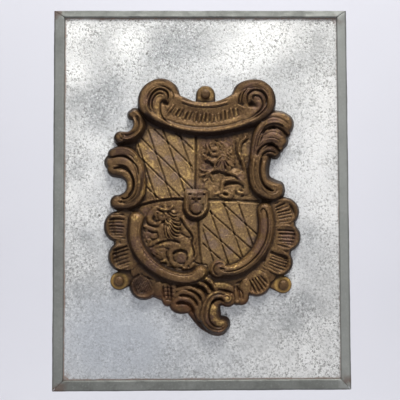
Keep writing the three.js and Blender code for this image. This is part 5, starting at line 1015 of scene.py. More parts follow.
# ------------------------------------------------------------------ material helper
class Nodes:
    """A material's node tree, built by short calls."""

    def __init__(s, name):
        s.mat = bpy.data.materials.new(name)
        s.mat.use_nodes = True
        s.t = s.mat.node_tree
        s.bsdf = s.t.nodes["Principled BSDF"]
        s.coords = s.t.nodes.new("ShaderNodeTexCoord").outputs["Object"]

    def link(s, a, b):
        s.t.links.new(a, b)

    def put(s, socket, value):
        if isinstance(value, bpy.types.NodeSocket):
            s.link(value, socket)
        elif value is not None:
            socket.default_value = value

    def noise(s, scale, detail=3.0, rough=0.5, distortion=0.0, coords=None, out="Fac"):
        n = s.t.nodes.new("ShaderNodeTexNoise")
        n.inputs["Scale"].default_value = scale
        n.inputs["Detail"].default_value = detail
        n.inputs["Roughness"].default_value = rough
        n.inputs["Distortion"].default_value = distortion
        s.link(coords or s.coords, n.inputs["Vector"])
        return n.outputs[out]

    def voronoi(s, scale, feature="F1", coords=None, random=1.0, out="Distance"):
        n = s.t.nodes.new("ShaderNodeTexVoronoi")
        n.feature = feature
        n.inputs["Scale"].default_value = scale
        n.inputs["Randomness"].default_value = random
        s.link(coords or s.coords, n.inputs["Vector"])
        return n.outputs[out]

    def stretch(s, scale, turn=(0, 0, 0)):
        n = s.t.nodes.new("ShaderNodeMapping")
        n.inputs["Scale"].default_value = scale
        n.inputs["Rotation"].default_value = turn
        s.link(s.coords, n.inputs["Vector"])
        return n.outputs["Vector"]

    def attr(s, name):
        n = s.t.nodes.new("ShaderNodeAttribute")
        n.attribute_name = name
        return n.outputs["Fac"]

    def math(s, op, a, b=None, c=None, clamp=False):
        n = s.t.nodes.new("ShaderNodeMath")
        n.operation = op
        n.use_clamp = clamp
        for k, v in enumerate((a, b, c)):
            if v is not None:
                s.put(n.inputs[k], v)
        return n.outputs[0]

    def ramp(s, value, low, high, to_low=0.0, to_high=1.0, smooth=True):
        n = s.t.nodes.new("ShaderNodeMapRange")
        n.interpolation_type = "SMOOTHSTEP" if smooth else "LINEAR"
        s.put(n.inputs["Value"], value)
        n.inputs["From Min"].default_value = low
        n.inputs["From Max"].default_value = high
        n.inputs["To Min"].default_value = to_low
        n.inputs["To Max"].default_value = to_high
        return n.outputs["Result"]

    def mix(s, factor, a, b, mode="MIX"):
        n = s.t.nodes.new("ShaderNodeMix")
        n.data_type = "RGBA"
        n.blend_type = mode
        n.clamp_factor = True
        s.put(n.inputs["Factor"], factor)
        for socket, v in ((n.inputs["A"], a), (n.inputs["B"], b)):
            pass
        A = [i for i in n.inputs if i.name == "A" and i.type == "RGBA"][0]
        B = [i for i in n.inputs if i.name == "B" and i.type == "RGBA"][0]
        for socket, v in ((A, a), (B, b)):
            if isinstance(v, bpy.types.NodeSocket):
                s.link(v, socket)
            else:
                socket.default_value = (*v, 1.0) if len(v) == 3 else v
        return [o for o in n.outputs if o.type == "RGBA"][0]

    def separate(s, coords=None):
        n = s.t.nodes.new("ShaderNodeSeparateXYZ")
        s.link(coords or s.coords, n.inputs[0])
        return n.outputs

    def bump(s, height, strength, distance, normal=None):
        n = s.t.nodes.new("ShaderNodeBump")
        n.inputs["Strength"].default_value = strength
        n.inputs["Distance"].default_value = distance
        s.put(n.inputs["Height"], height)
        if normal is not None:
            s.link(normal, n.inputs["Normal"])
        return n.outputs["Normal"]

    def finish(s, color, roughness, metallic, normal=None, specular=None, coat=None):
        s.put(s.bsdf.inputs["Base Color"], color if isinstance(color, bpy.types.NodeSocket) else (*color, 1.0))
        s.put(s.bsdf.inputs["Roughness"], roughness)
        s.put(s.bsdf.inputs["Metallic"], metallic)
        if normal is not None:
            s.link(normal, s.bsdf.inputs["Normal"])
        if specular is not None:
            s.bsdf.inputs["Specular IOR Level"].default_value = specular
        if coat is not None:
            s.bsdf.inputs["Coat Weight"].default_value, s.bsdf.inputs["Coat Roughness"].default_value = coat
        return s.mat


def srgb(r, g, b):
    """8-bit display colour to the linear values a shader takes."""
    return tuple((v / 255 / 12.92) if v / 255 <= 0.04045 else ((v / 255 + 0.055) / 1.055) ** 2.4 for v in (r, g, b))


# ------------------------------------------------------------------ the casting
STEP = 0.25
relief = carve(STEP)
V, F = casting_mesh(relief)
casting = new_mesh("brass_cartouche", V, F)
fix_normals(casting)
decimated(casting, 188000)
casting.data.polygons.foreach_set("use_smooth", np.ones(len(casting.data.polygons), bool))

# how hollow or proud each place is, at two sizes, and where it has been rubbed bright
Hc = np.where(relief.H > CUT - 0.5, relief.H, 0.5)
k = 1 / relief.step
fine = Hc - blurred(Hc, 0.55 * k)
broad = Hc - blurred(Hc, 1.9 * k)
hollow = np.clip(-fine / 0.35, 0, 1) * 0.75 + np.clip(-broad / 1.3, 0, 1) * 0.8
proud = np.clip(fine / 0.3, 0, 1) * 0.7 + np.clip(broad / 1.2, 0, 1) * 0.55
# rubbed or gilt-looking places, painted as soft spots [x, z, radius, strength]; the five strong spots along the tail's
# scoop paint its highlight
SPOTS = [
    [-8, 12, 5, 0.9], [-10, 4, 6, 0.8], [-27, 17, 4, 0.9], [-30, 26, 3.5, 0.9], [-31, 8, 3, 0.7], [-13, 3, 5, 0.8], [-15, 32, 5, 0.8], [-4, 25, 3.5, 0.9], [-6, 16, 4, 0.7],
    [-20, 2, 5, 0.7], [-24, 3, 4, 0.7], [-17, 12, 3, 0.5], [-22, 19, 3, 0.4], [-5, 31, 3, 0.7],
    [7, -5, 6, 0.9], [16, -5, 5, 0.6], [25, -9, 4, 0.7], [8, -14, 4, 0.6], [17, -33, 5, 1.0], [22, -28, 4, 0.9], [13, -24, 4, 0.5], [19, -18, 4, 0.5], [27, -17, 3, 0.6],
    [2, -31, 3, 0.5], [22, 22, 3, 0.8], [22, 28, 3, 0.6], [5, 6, 4, 0.6], [10, 2, 5, 0.6], [19, 4, 4, 0.6], [26, 2, 3, 0.6], [0, 16, 3, 0.5], [5, 13, 3, 0.4],
    [-18, -6, 5, 0.6], [-12, -16, 5, 0.7], [-17, -14, 4, 0.6], [-22, -10, 3, 0.5], [-11, -26, 4, 0.8], [-6, -30, 3, 0.8], [-14, -32, 3, 0.6], [-18, -33, 3, 0.7], [-20, -24, 4, 0.7], [-8, -36, 4, 0.6],
    [-5, -27, 3, 0.7], [3, -38, 4, 0.6], [9, -45, 6, 0.8], [3, -44, 4, 0.6], [-4, -44, 4, 0.6], [15, -51, 3, 0.9], [9, -56, 3, 0.7], [8, -62, 3, 0.8], [11, -67, 4, 0.6],
    [-37, -24, 3, 0.7], [-38, -14, 3, 0.6], [-35, -38, 4, 0.7], [-24, -41, 4, 0.7], [-17, -45, 3, 0.6], [38, -27, 4, 0.5], [33, -37, 4, 0.6], [28, -42, 4, 0.6], [24, -45, 3, 0.6],
    [-24, 46, 4, 0.8], [-24, 51, 3, 0.6], [-12, 40, 7, 0.5], [2, 39, 8, 0.5], [16, 41, 7, 0.5], [0, 50, 8, 0.5], [-16, 52, 3, 0.5], [29, 56, 4, 0.5], [24, 55, 3, 0.5],
    [42, 42, 4, 0.6], [36, 42, 4, 0.5], [30, 30, 4, 0.4], [36, 31, 4, 0.4], [32, 12, 3, 0.5], [37, 5, 3, 0.5], [-34, 20, 5, 0.7], [-32, 27, 3, 0.9], [-40, 12, 3, 0.5], [-30, 4, 2, 0.6],
    [7.2, -56.4, 2.2, 1.6], [6.7, -59.4, 2.2, 1.7], [7.6, -62.4, 2.2, 1.8], [9.8, -64.4, 2.2, 1.7], [12.2, -64.8, 1.8, 1.2], [9.6, -44.6, 3.2, 1.4], [13.4, -44.8, 3.0, 1.5], [2.6, -41.4, 2, 1.2],
    [-26.6, 25.6, 2.4, 1.3], [-29.6, 20.0, 2.4, 1.3], [-28.4, 12.6, 2.2, 1.3], [-27.6, 6.4, 2.4, 1.3], [-30.4, 2.2, 2.0, 1.2], [-37.4, 6.0, 1.6, 1.2], [-38.6, 10.6, 1.8, 1.0], [-42.4, 13.0, 1.6, 1.0],
    [-34.0, -11.0, 2.4, 1.1], [14.6, -51.6, 1.8, 1.4], [-24.0, 47.0, 2.2, 1.3], [-22.4, 42.6, 2.0, 1.2],
    [1.3, 55, 6, 1.0], [-42, -44, 6, 1.1], [43.5, -44.5, 6, 1.2],
]
gold = np.zeros(relief.X.shape)
for x, z, r, a in SPOTS:
    gold = np.maximum(gold, a * np.exp(-(((relief.X - x) ** 2 + (relief.Z - z) ** 2) / r ** 2) ** 0.9))
PURPLE = [
    [-24, 31, 5], [-26, 23, 4], [-22, 9, 4.5], [-18, 19, 4], [-12, 21, 3], [-10, 30, 3], [-14, 11, 3], [-29, 12, 3], [3, 16.5, 4], [20, 11, 2.5], [10, 17, 4], [2, 30, 4], [13, 30, 4],
    [9, -34, 2.2], [20, -12, 4], [12, -18, 3.5], [15, -27, 3], [6, -24, 3], [26, -22, 3], [3, -20, 3], [-28, -8, 3], [-27, -19, 4], [-26, -29, 4], [-10, -32, 3], [-5, -12, 3],
    [33, 31, 8], [28, 26, 5], [36, 34, 6], [-42, 23, 6], [-38, 31, 4], [-28, 51, 4], [29, 47, 5], [30, 54, 4], [24, 57, 4], [-33, -24, 5], [-25, -35, 5], [33, -14, 5], [31, -25, 5],
    [-31, -46, 6], [-16, -49, 4], [-8, -54, 4], [-43, -16, 4], [46, -20, 5], [-3, 4, 6], [-2, -4, 4], [5, -62, 4], [36, 41, 4],
]
purple = np.zeros(relief.X.shape)
for x, z, r in PURPLE:
    purple = np.maximum(purple, np.exp(-(((relief.X - x) ** 2 + (relief.Z - z) ** 2) / r ** 2) ** 0.9))
# the two lozenge quarters are a warmer, grainier tan than the rest
def boxed(x0, x1, z0, z1, soft):
    return np.clip((relief.X - x0) / soft, 0, 1) * np.clip((x1 - relief.X) / soft, 0, 1) * np.clip((relief.Z - z0) / soft, 0, 1) * np.clip((z1 - relief.Z) / soft, 0, 1)


tan = np.maximum(boxed(-36, -1.5, 0, 40, 2.5), boxed(-2, 34, -40, 1.5, 2.5)) * relief.field
for x, z, r, a in ([22, 26, 5, 0.6], [20, 4, 6, 0.5], [6, 8, 6, 0.4], [-24, 6, 5, 0.3], [-6, -18, 5, 0.4], [-14, -34, 5, 0.35], [-5, -30, 4, 0.4]):
    tan = np.maximum(tan, a * np.exp(-((relief.X - x) ** 2 + (relief.Z - z) ** 2) / r ** 2) * relief.field)
DARKER = [
    [-43, -20, 9, 0.45], [-42, -30, 9, 0.6], [-34, -44, 9, 0.8], [-25, -48, 8, 0.8], [-16, -54, 8, 0.55], [-8, -57, 6, 0.5], [8, -69, 6, 0.8], [2, -64, 4, 0.4], [-2, -1, 6, 0.5],
    [-42, 22, 7, 0.45], [-44, 12, 7, 0.4], [32, 26, 6, 0.4], [27, 12, 6, 0.35], [30, 2, 6, 0.4], [41, 4, 5, 0.35], [14, -43, 7, 0.55], [32, 45, 6, 0.3], [40, -33, 6, 0.2],
    [10, -66, 6, 0.5], [13, -69, 4, 0.5], [-26, -38, 5, 0.4], [-18, -42, 4, 0.3], [-9, -46, 5, 0.4], [28, 58, 6, 0.3], [-30, 44, 4, 0.5], [14, -50, 4, 0.2], [-14, -25, 9, 0.2],
]
darker = np.zeros(relief.X.shape)
for x, z, r, a in DARKER:
    darker = np.maximum(darker, a * np.exp(-(((relief.X - x) ** 2 + (relief.Z - z) ** 2) / r ** 2) ** 0.9))
# painted shade on flanks that fall away steeply below the mouldings, as broad strokes [half width, strength, [x, z]
# ...]
FLANK_SHADE = [
    [1.7, 1.15, [-29.6, 42.4], [-25.4, 38.9], [-20, 36.2], [-14, 34.1], [-6.1, 32.8], [2.2, 32.5], [10.6, 33.4], [18.9, 35.6], [25, 38.2]],
    [1.3, 0.8, [25, 37.4], [30, 40.6], [34.4, 44.6], [37.2, 49.6], [36.8, 55.4]],
    [1.1, 0.6, [-33.0, 45.0], [-33.6, 50.0], [-32.6, 55.0], [-29.4, 59.4], [-24.6, 61.6], [-19.6, 61.0]],
    [1.3, 0.75, [-31.6, 40.6], [-29.8, 37.6], [-30.0, 33.4], [-32.4, 29.8], [-36.4, 27.8], [-41.4, 27.2]],
    [1.1, 0.7, [-46.8, 31.6], [-44.6, 29.0], [-41.6, 28.0]],
    [1.1, 0.7, [-30.9, 12.0], [-31.0, 6.0], [-32.6, 0.6], [-35.6, -3.4], [-39.6, -5.2], [-44.4, -5.4]],
    [1.2, 0.6, [-37.0, -12.4], [-37.2, -20.4], [-35.6, -27.2], [-32.2, -33.0], [-27.6, -37.8], [-21.6, -41.8], [-15.4, -44.4], [-9.4, -45.4]],
    [1.0, 0.7, [35.2, 27.6], [38.4, 26.2], [40.6, 23.6]], [0.9, 0.6, [40.6, 34.6], [43.8, 32.0]],
    [1.1, 0.8, [34.0, 19.6], [33.6, 15.0], [34.4, 11.0], [37.0, 8.8], [40.4, 8.9]],
    [1.1, 0.6, [25.0, 20.0], [24.4, 13.0], [25.4, 7.0], [28.6, 2.4], [33.6, -0.6], [39.6, -0.8]],
    [1.2, 0.8, [10.6, -55.4], [10.6, -58.4], [11.6, -61.0], [14.0, -62.2], [16.4, -62.0]],
    [2.0, 0.85, [-4.4, -61.0], [-0.4, -64.6], [3.6, -68.0], [8, -70.2], [13, -70.4], [16.2, -67.0]],
    [1.2, 0.8, [-14.6, -57.0], [-10.4, -60.0], [-5.6, -59.6], [-2.0, -62.4]], [1.1, 0.8, [-20.6, -56.6], [-16.4, -57.0]],
    [1.0, 0.6, [13.4, -47.2], [9.6, -49.0], [8.0, -51.4]],
]


def stroked(rows):
    out = np.zeros(relief.X.shape)
    for width, strength, *path in rows:
        for (x0, z0), (x1, z1) in zip(path[:-1], path[1:]):
            w = relief.win(min(x0, x1) - 3 * width, max(x0, x1) + 3 * width, min(z0, z1) - 3 * width, max(z0, z1) + 3 * width)
            X, Z = relief.X[w] - x0, relief.Z[w] - z0
            t = np.clip((X * (x1 - x0) + Z * (z1 - z0)) / max((x1 - x0) ** 2 + (z1 - z0) ** 2, 1e-6), 0, 1)
            d = np.hypot(X - t * (x1 - x0), Z - t * (z1 - z0))
            out[w] = np.maximum(out[w], strength * np.exp(-(d / width) ** 4))
    return out


darker = np.maximum(darker, stroked(FLANK_SHADE))
# painted shade on faces that tilt towards the floor, turned away from the light above
slope = np.gradient(blurred(Hc, 0.25 * k), relief.step, axis=0)
down_facing_shade = np.clip((slope - 0.25) / 1.1, 0, 1)
# the casting's outer margin, darker brown than the rest: grime, and a painted contact shadow along the outline
margin_grime_and_shade = np.clip((0.95 - blurred((relief.H > CUT).astype(float), 1.6 * k)) / 0.28, 0, 1)
lug, brim = np.zeros(relief.X.shape), np.zeros(relief.X.shape)
for x, z in NAILS.values():
    r = np.hypot(relief.X - x, relief.Z - z)
    lug = np.maximum(lug, np.clip((5.6 - r) / 1.2, 0, 1) * np.clip((3.4 - relief.H) / 0.5, 0, 1) * (0.4 if z > 0 else 1.0))
    brim = np.maximum(brim, np.exp(-((r - 3.9) / 0.8) ** 2) * np.clip((3.4 - relief.H) / 0.5, 0, 1) * (0.25 if z > 0 else 1.0))
# dirt and shade gather below tall edges, because the light and the dusting come from above
shift = max(1, int(round(1.2 * k)))
above = np.maximum(np.roll(Hc, -shift, 0), np.roll(Hc, -2 * shift, 0) * 0.94)
under = np.clip((above - Hc - 0.6) / 2.2, 0, 1)

P = positions(casting) / MM
c, sn = math.cos(TURN), math.sin(TURN)
lx, lz = P[:, 0] * c - P[:, 2] * sn, P[:, 0] * sn + P[:, 2] * c
height = -P[:, 1] - PLATE_T
rear = height < 0.5
for name, A in (("hollow", hollow), ("proud", proud), ("gold", gold), ("purple", purple), ("tan", tan), ("darker", darker), ("down_facing_shade", down_facing_shade), ("margin_grime_and_shade", margin_grime_and_shade * (1 - 0.8 * np.clip(lug, 0, 1))), ("brim", brim), ("lug", lug), ("under", blurred(under, 1.2)), ("field", relief.field), ("body", relief.body)):
    v = np.clip(sample(A, relief, lx, lz), 0, 1.5)
    if name == "hollow":
        v = v * (1 - 0.3 * np.clip(sample(tan, relief, lx, lz), 0, 1))
    # the straight side walls and back of the casting take the full hollow value: painted shade
    if name == "hollow":
        v = np.where(rear, 1.0, v)
    attribute(casting, name, v)


def brass_material(name):
    n = Nodes(name)
    hollow, proud, gold, purple, tan = n.attr("hollow"), n.attr("proud"), n.attr("gold"), n.attr("purple"), n.attr("tan")
    lug, under, darker, down_facing_shade, margin_grime_and_shade, brim = (n.attr(a) for a in ("lug", "under", "darker", "down_facing_shade", "margin_grime_and_shade", "brim"))
    big, mid, small = n.noise(60, 3), n.noise(210, 4, 0.6), n.noise(800, 4, 0.65)
    speck = n.noise(1900, 3, 0.7)
    # brown patina, from blackish to olive and here and there purple
    patina = n.mix(n.ramp(big, 0.36, 0.66), srgb(98, 71, 43), srgb(128, 98, 63))
    patina = n.mix(n.math("MULTIPLY", n.ramp(mid, 0.48, 0.68), 0.6), patina, srgb(128, 98, 66))
    # the lozenge quarters: tan, with purplish smooth patches
    patina = n.mix(n.math("MULTIPLY", tan, 0.9, clamp=True), patina, srgb(143, 115, 79))
    tinge = n.ramp(n.math("ADD", purple, n.math("MULTIPLY", n.math("SUBTRACT", mid, 0.5), 0.9)), 0.3, 0.75)
    patina = n.mix(n.math("MULTIPLY", tinge, 0.75), patina, n.mix(tan, srgb(108, 80, 66), srgb(138, 114, 98)))
    patina = n.mix(n.math("MULTIPLY", n.ramp(small, 0.48, 0.66), 0.7), patina, n.mix(tan, srgb(142, 113, 70), srgb(166, 136, 88)))
    patina = n.mix(n.math("MULTIPLY", n.ramp(speck, 0.5, 0.64), 0.7), patina, n.mix(tan, srgb(54, 37, 24), srgb(80, 60, 40)))
    # golden worn metal, in the rubbed places and a little along proud edges, and painted highlights on the tail's scoop
    # and the nail tops
    worn = n.math("ADD", n.math("MULTIPLY", gold, 0.7), n.math("MULTIPLY", proud, 0.12))
    worn = n.math("ADD", worn, n.math("MULTIPLY", n.math("SUBTRACT", mid, 0.5), 1.1))
    worn = n.math("ADD", worn, n.math("MULTIPLY", n.math("SUBTRACT", small, 0.5), 1.9))
    worn = n.math("ADD", worn, n.math("MULTIPLY", tan, 0.12))
    worn = n.math("SUBTRACT", worn, n.math("MULTIPLY", purple, 0.35))
    worn = n.math("SUBTRACT", worn, n.math("MULTIPLY", darker, 0.3))
    wear = n.ramp(worn, 0.34, 0.95)
    metal = n.mix(n.ramp(small, 0.35, 0.7), srgb(160, 126, 72), srgb(208, 174, 114))
    color = n.mix(n.math("MULTIPLY", wear, 0.8), patina, metal)
    color = n.mix(n.math("MULTIPLY", lug, 0.85), color, n.mix(n.ramp(mid, 0.4, 0.62), srgb(92, 66, 38), srgb(128, 100, 62)))
    color = n.mix(n.math("MULTIPLY", brim, n.ramp(small, 0.3, 0.6, 0.55, 1.0)), color, srgb(196, 158, 90))
    # browner, sootier patches, and painted shade on the steep flanks that face down
    color = n.mix(n.math("MULTIPLY", darker, n.ramp(mid, 0.3, 0.65, 0.7, 1.1)), color, srgb(40, 24, 14))
    # dark patina and dirt in the hollows, and painted shade: in the hollows, below tall edges, on faces turned to the
    # floor and along the casting's outline
    dark = n.math("ADD", n.math("MULTIPLY", hollow, 0.95), n.math("MULTIPLY", under, 0.8))
    dark = n.math("ADD", dark, n.math("MULTIPLY", down_facing_shade, 0.72))
    dark = n.math("ADD", dark, n.math("MULTIPLY", margin_grime_and_shade, 0.95))
    dark = n.math("MULTIPLY", dark, n.ramp(mid, 0.2, 0.7, 0.75, 1.15))
    color = n.mix(n.math("MINIMUM", dark, 0.88), color, srgb(33, 19, 11))
    # a reddish, darker cast low down
    z = n.separate()[2]
    red = n.math("MULTIPLY", n.ramp(z, -0.040, -0.060, 0.0, 0.5), n.ramp(big, 0.4, 0.62))
    color = n.mix(red, color, n.mix(n.ramp(mid, 0.4, 0.6), srgb(66, 34, 20), srgb(112, 70, 40)))
    rough = n.math("ADD", n.math("MULTIPLY", hollow, 0.2), n.ramp(small, 0.3, 0.7, 0.4, 0.56))
    metallic = n.math("ADD", n.math("MULTIPLY", wear, 0.25), 0.5)
    bump = n.bump(n.math("ADD", n.math("MULTIPLY", small, 0.6), n.math("MULTIPLY", speck, 0.4)), 0.9, 0.0004)
    return n.finish(color, rough, metallic, bump, 0.3, (0.1, 0.3))


brass = brass_material("aged_brass")
casting.data.materials.clear()
casting.data.materials.append(brass)
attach(casting, "root")
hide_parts("cartouche")

# ------------------------------------------------------------------ the nails
def nail(name, x, z, seed):
    """A domed head, a little hammered, on a short shank."""
    rng = np.random.default_rng(seed)
    rings = [(0.01, -1.95), (0.7, -1.95), (1.0, -1.4), (1.0, 2.95), (2.2, 2.96), (2.44, 3.05), (2.53, 3.25)]
    for a in np.linspace(0.12, 1, 14):
        t = a * math.pi / 2
        rings.append((2.53 * math.cos(t) ** 0.85 + (0.01 if a == 1 else 0), 3.25 + 1.42 * math.sin(t)))
    seg = 56
    dents = rng.uniform(-1.6, 1.6, (5, 2))
    X, Z = to_plate(x, z)
    verts, faces = [], []
    for r, h in rings:
        for k in range(seg):
            a = 2 * math.pi * k / seg
            u, v = r * math.cos(a), r * math.sin(a)
            hh = h
            if h > 3.2:
                hh -= sum(0.12 * math.exp(-((u - p) ** 2 + (v - q) ** 2) / 0.45) for p, q in dents) * min(1, (h - 3.2) / 0.5)
            verts.append(((X + u) * MM, -(PLATE_T + hh) * MM, (Z + v) * MM))
    for i in range(len(rings) - 1):
        for k in range(seg):
            a, b = i * seg + k, i * seg + (k + 1) % seg
            faces.append((a, b, b + seg, a + seg))
    faces.append(tuple(range(seg))[::-1])
    faces.append(tuple(len(verts) - seg + k for k in range(seg)))
    ob = new_mesh(name + "_head", verts, faces)
    fix_normals(ob)
    P = positions(ob) / MM
    r = np.hypot(P[:, 0] - X, P[:, 2] - Z)
    h = -P[:, 1] - PLATE_T
    # painted shade round the foot of the head, where it meets the lug
    attribute(ob, "hollow", np.clip((3.5 - h) / 0.5, 0, 1) * 0.9)
    attribute(ob, "proud", np.clip((h - 4.0) / 0.6, 0, 1) * 0.8)
    # painted highlight: the upper half of the head lighter
    attribute(ob, "gold", np.clip((P[:, 2] - Z + 0.3) / 2.0, 0, 1) * (0.1 if name == "nail_top" else 0.45))
    attribute(ob, "lug", np.zeros(len(P)))
    for extra in ("purple", "tan", "down_facing_shade", "margin_grime_and_shade", "brim"):
        attribute(ob, extra, np.zeros(len(P)))
    attribute(ob, "darker", np.full(len(P), {"nail_top": 0.55, "nail_left": 0.3, "nail_right": 0.45}[name]))
    # painted shade on the lower half of the head
    attribute(ob, "under", np.clip((Z - 0.8 - P[:, 2]) / 1.5, 0, 1) * 0.5)
    attribute(ob, "field", np.zeros(len(P)))
    ob.data.materials.append(brass)
    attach(ob, "root")
    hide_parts(name)


for seed, (name, (x, z)) in enumerate(NAILS.items()):
    nail(name, x, z, 20 + seed)


# ------------------------------------------------------------------ the backing plate
WX, HZ = 77.75, 100.0
WIDTHS = {"top": 4.0, "bottom": 5.8, "left": 5.9, "right": 5.4}
# duller and brighter clouds on the sheet, [x, z, radius in mm, amount]
CLOUDS = [
    [-55, 83, 8, -0.2], [-18, 78, 13, -0.6], [-6, 84, 12, -0.4], [-53, 52, 12, -0.5], [-46, 59, 6, -0.35], [-65, 53, 6, -0.3], [-54, 43, 7, -0.35], [-65, 16, 6, -0.45], [-61, -20, 4, -0.45],
    [57, -19, 6, -0.4], [53, -55, 9, -0.4], [46, -67, 8, -0.4], [62, -35, 8, -0.25], [-66, -50, 14, -0.3], [-47, -74, 20, -0.55], [-20, -85, 22, -0.3], [30, -60, 10, -0.15],
    [48, 68, 8, -0.3], [64, 76, 8, -0.2], [20, 92, 22, -0.15], [46.8, 21.4, 3.0, -0.55], [51.6, 24.2, 3.0, -0.4], [14, 63, 2.6, -0.5],
    [32, 84, 13, 0.65], [17, 73, 9, 0.45], [-38, 82, 7, 0.55], [-67, 67, 9, 0.5], [64, 52, 12, 0.35], [55, 13, 12, 0.65], [64, 32, 8, 0.45], [67, -8, 10, 0.55], [-54, 28, 7, 0.45],
    [-67, 1, 7, 0.4], [-57, 12, 6, 0.35], [41, 33, 8, 0.35], [49, -43, 8, 0.3], [-4, 66, 14, 0.2], [-66, 88, 7, 0.3], [50, -82, 20, 0.2], [62, 92, 8, -0.2], [-62, -8, 6, 0.2],
]


def plate():
    """White metal sheet: an uneven, pitted front, square edges and a plain back."""
    lo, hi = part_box("backing_plate")
    x0, x1, z0, z1 = lo[0] / MM, hi[0] / MM, lo[2] / MM, hi[2] / MM
    step = 0.62
    nx, nz = int((x1 - x0) / step) + 1, int((z1 - z0) / step) + 1
    xs, zs = np.linspace(x0, x1, nx), np.linspace(z0, z1, nz)
    X, Z = np.meshgrid(xs, zs)
    dip = 0.05 * (1 + value_noise(X, Z, 31, 31)) + 0.03 * (1 + value_noise(X, Z, 13, 32)) + 0.012 * (1 + value_noise(X, Z, 4, 33)) + 0.01 * (1 + value_noise(X, Z, 1.6, 34))
    rng = np.random.default_rng(77)
    for px, pz, r, d in np.column_stack([rng.uniform(x0, x1, 420), rng.uniform(z0, z1, 420), rng.uniform(0.5, 1.1, 420), rng.uniform(0.03, 0.12, 420)]):
        w = (slice(max(0, int((pz - z0 - 3) / step)), int((pz - z0 + 3) / step) + 2), slice(max(0, int((px - x0 - 3) / step)), int((px - x0 + 3) / step) + 2))
        dip[w] += d * np.exp(-((X[w] - px) ** 2 + (Z[w] - pz) ** 2) / r ** 2)
    edge = np.minimum(np.minimum(X - x0, x1 - X), np.minimum(Z - z0, z1 - Z))
    dip = dip * np.clip(edge / 2, 0, 1) + 0.02
    top = np.stack([X, -(PLATE_T - dip), Z], -1).reshape(-1, 3)
    i, j = np.meshgrid(np.arange(nx - 1), np.arange(nz - 1))
    a = (j * nx + i).ravel()
    faces = np.stack([a, a + 1, a + nx + 1, a + nx], 1).tolist()
    loop = list(range(nx)) + [nx * r + nx - 1 for r in range(1, nz)] + [nx * (nz - 1) + c for c in range(nx - 2, -1, -1)] + [nx * r for r in range(nz - 2, 0, -1)]
    rear = len(top) + np.arange(len(loop))
    back = top[loop].copy()
    back[:, 1] = 0
    for k in range(len(loop)):
        q = (k + 1) % len(loop)
        faces.append((loop[k], int(rear[k]), int(rear[q]), loop[q]))
    faces.append([int(r) for r in rear])
    ob = new_mesh("plate_sheet", np.concatenate([top, back]) * MM, faces)
    fix_normals(ob)
    me = ob.data
    flags = np.ones(len(me.polygons), bool)
    flags[len(a):] = False
    me.polygons.foreach_set("use_smooth", flags)
    P = positions(ob) / MM
    x, z = P[:, 0], P[:, 2]
    tone = np.zeros(len(x))
    for px, pz, r, a in CLOUDS:
        tone += a * np.exp(-(((x - px) ** 2 + (z - pz) ** 2) / r ** 2) ** 0.8)
    behind = P[:, 1] > -1
    tone[behind] = -0.2
    attribute(ob, "tone", tone)
    smoothness = np.zeros(len(x))
    for px, pz, rx, rz, a in ((-45, -74, 40, 30, 1.0), (-12, -84, 40, 20, 0.5), (0, 0, 62, 72, 0.7)):
        smoothness = np.maximum(smoothness, a * np.exp(-(((x - px) / rx) ** 2 + ((z - pz) / rz) ** 2) ** 1.5))
    attribute(ob, "calm_and_blue_reflection", np.where(behind, 0.8, smoothness))
    d = np.stack([x + WX - WIDTHS["left"], WX - WIDTHS["right"] - x, z + HZ - WIDTHS["bottom"], HZ - WIDTHS["top"] - z])
    near = np.exp(-np.maximum(d, 0) / np.array([0.9, 0.8, 0.9, 1.6])[:, None]) * np.array([1.0, 0.7, 1.0, 0.9])[:, None]
    attribute(ob, "joint", np.where(behind, 0.0, near.max(0)))
    corner = 0
    for cx, cz, r, a in ((-71.8, 96, 3.2, 1.0), (72.3, 96, 3.4, 1.0), (-71.8, -94, 4.5, 1.0), (72.3, -94, 3.4, 0.8)):
        corner = np.maximum(corner, a * np.exp(-(np.abs(x - cx) + np.abs(z - cz)) / r))
    attribute(ob, "corner", np.where(behind, 0.0, corner))
    return ob


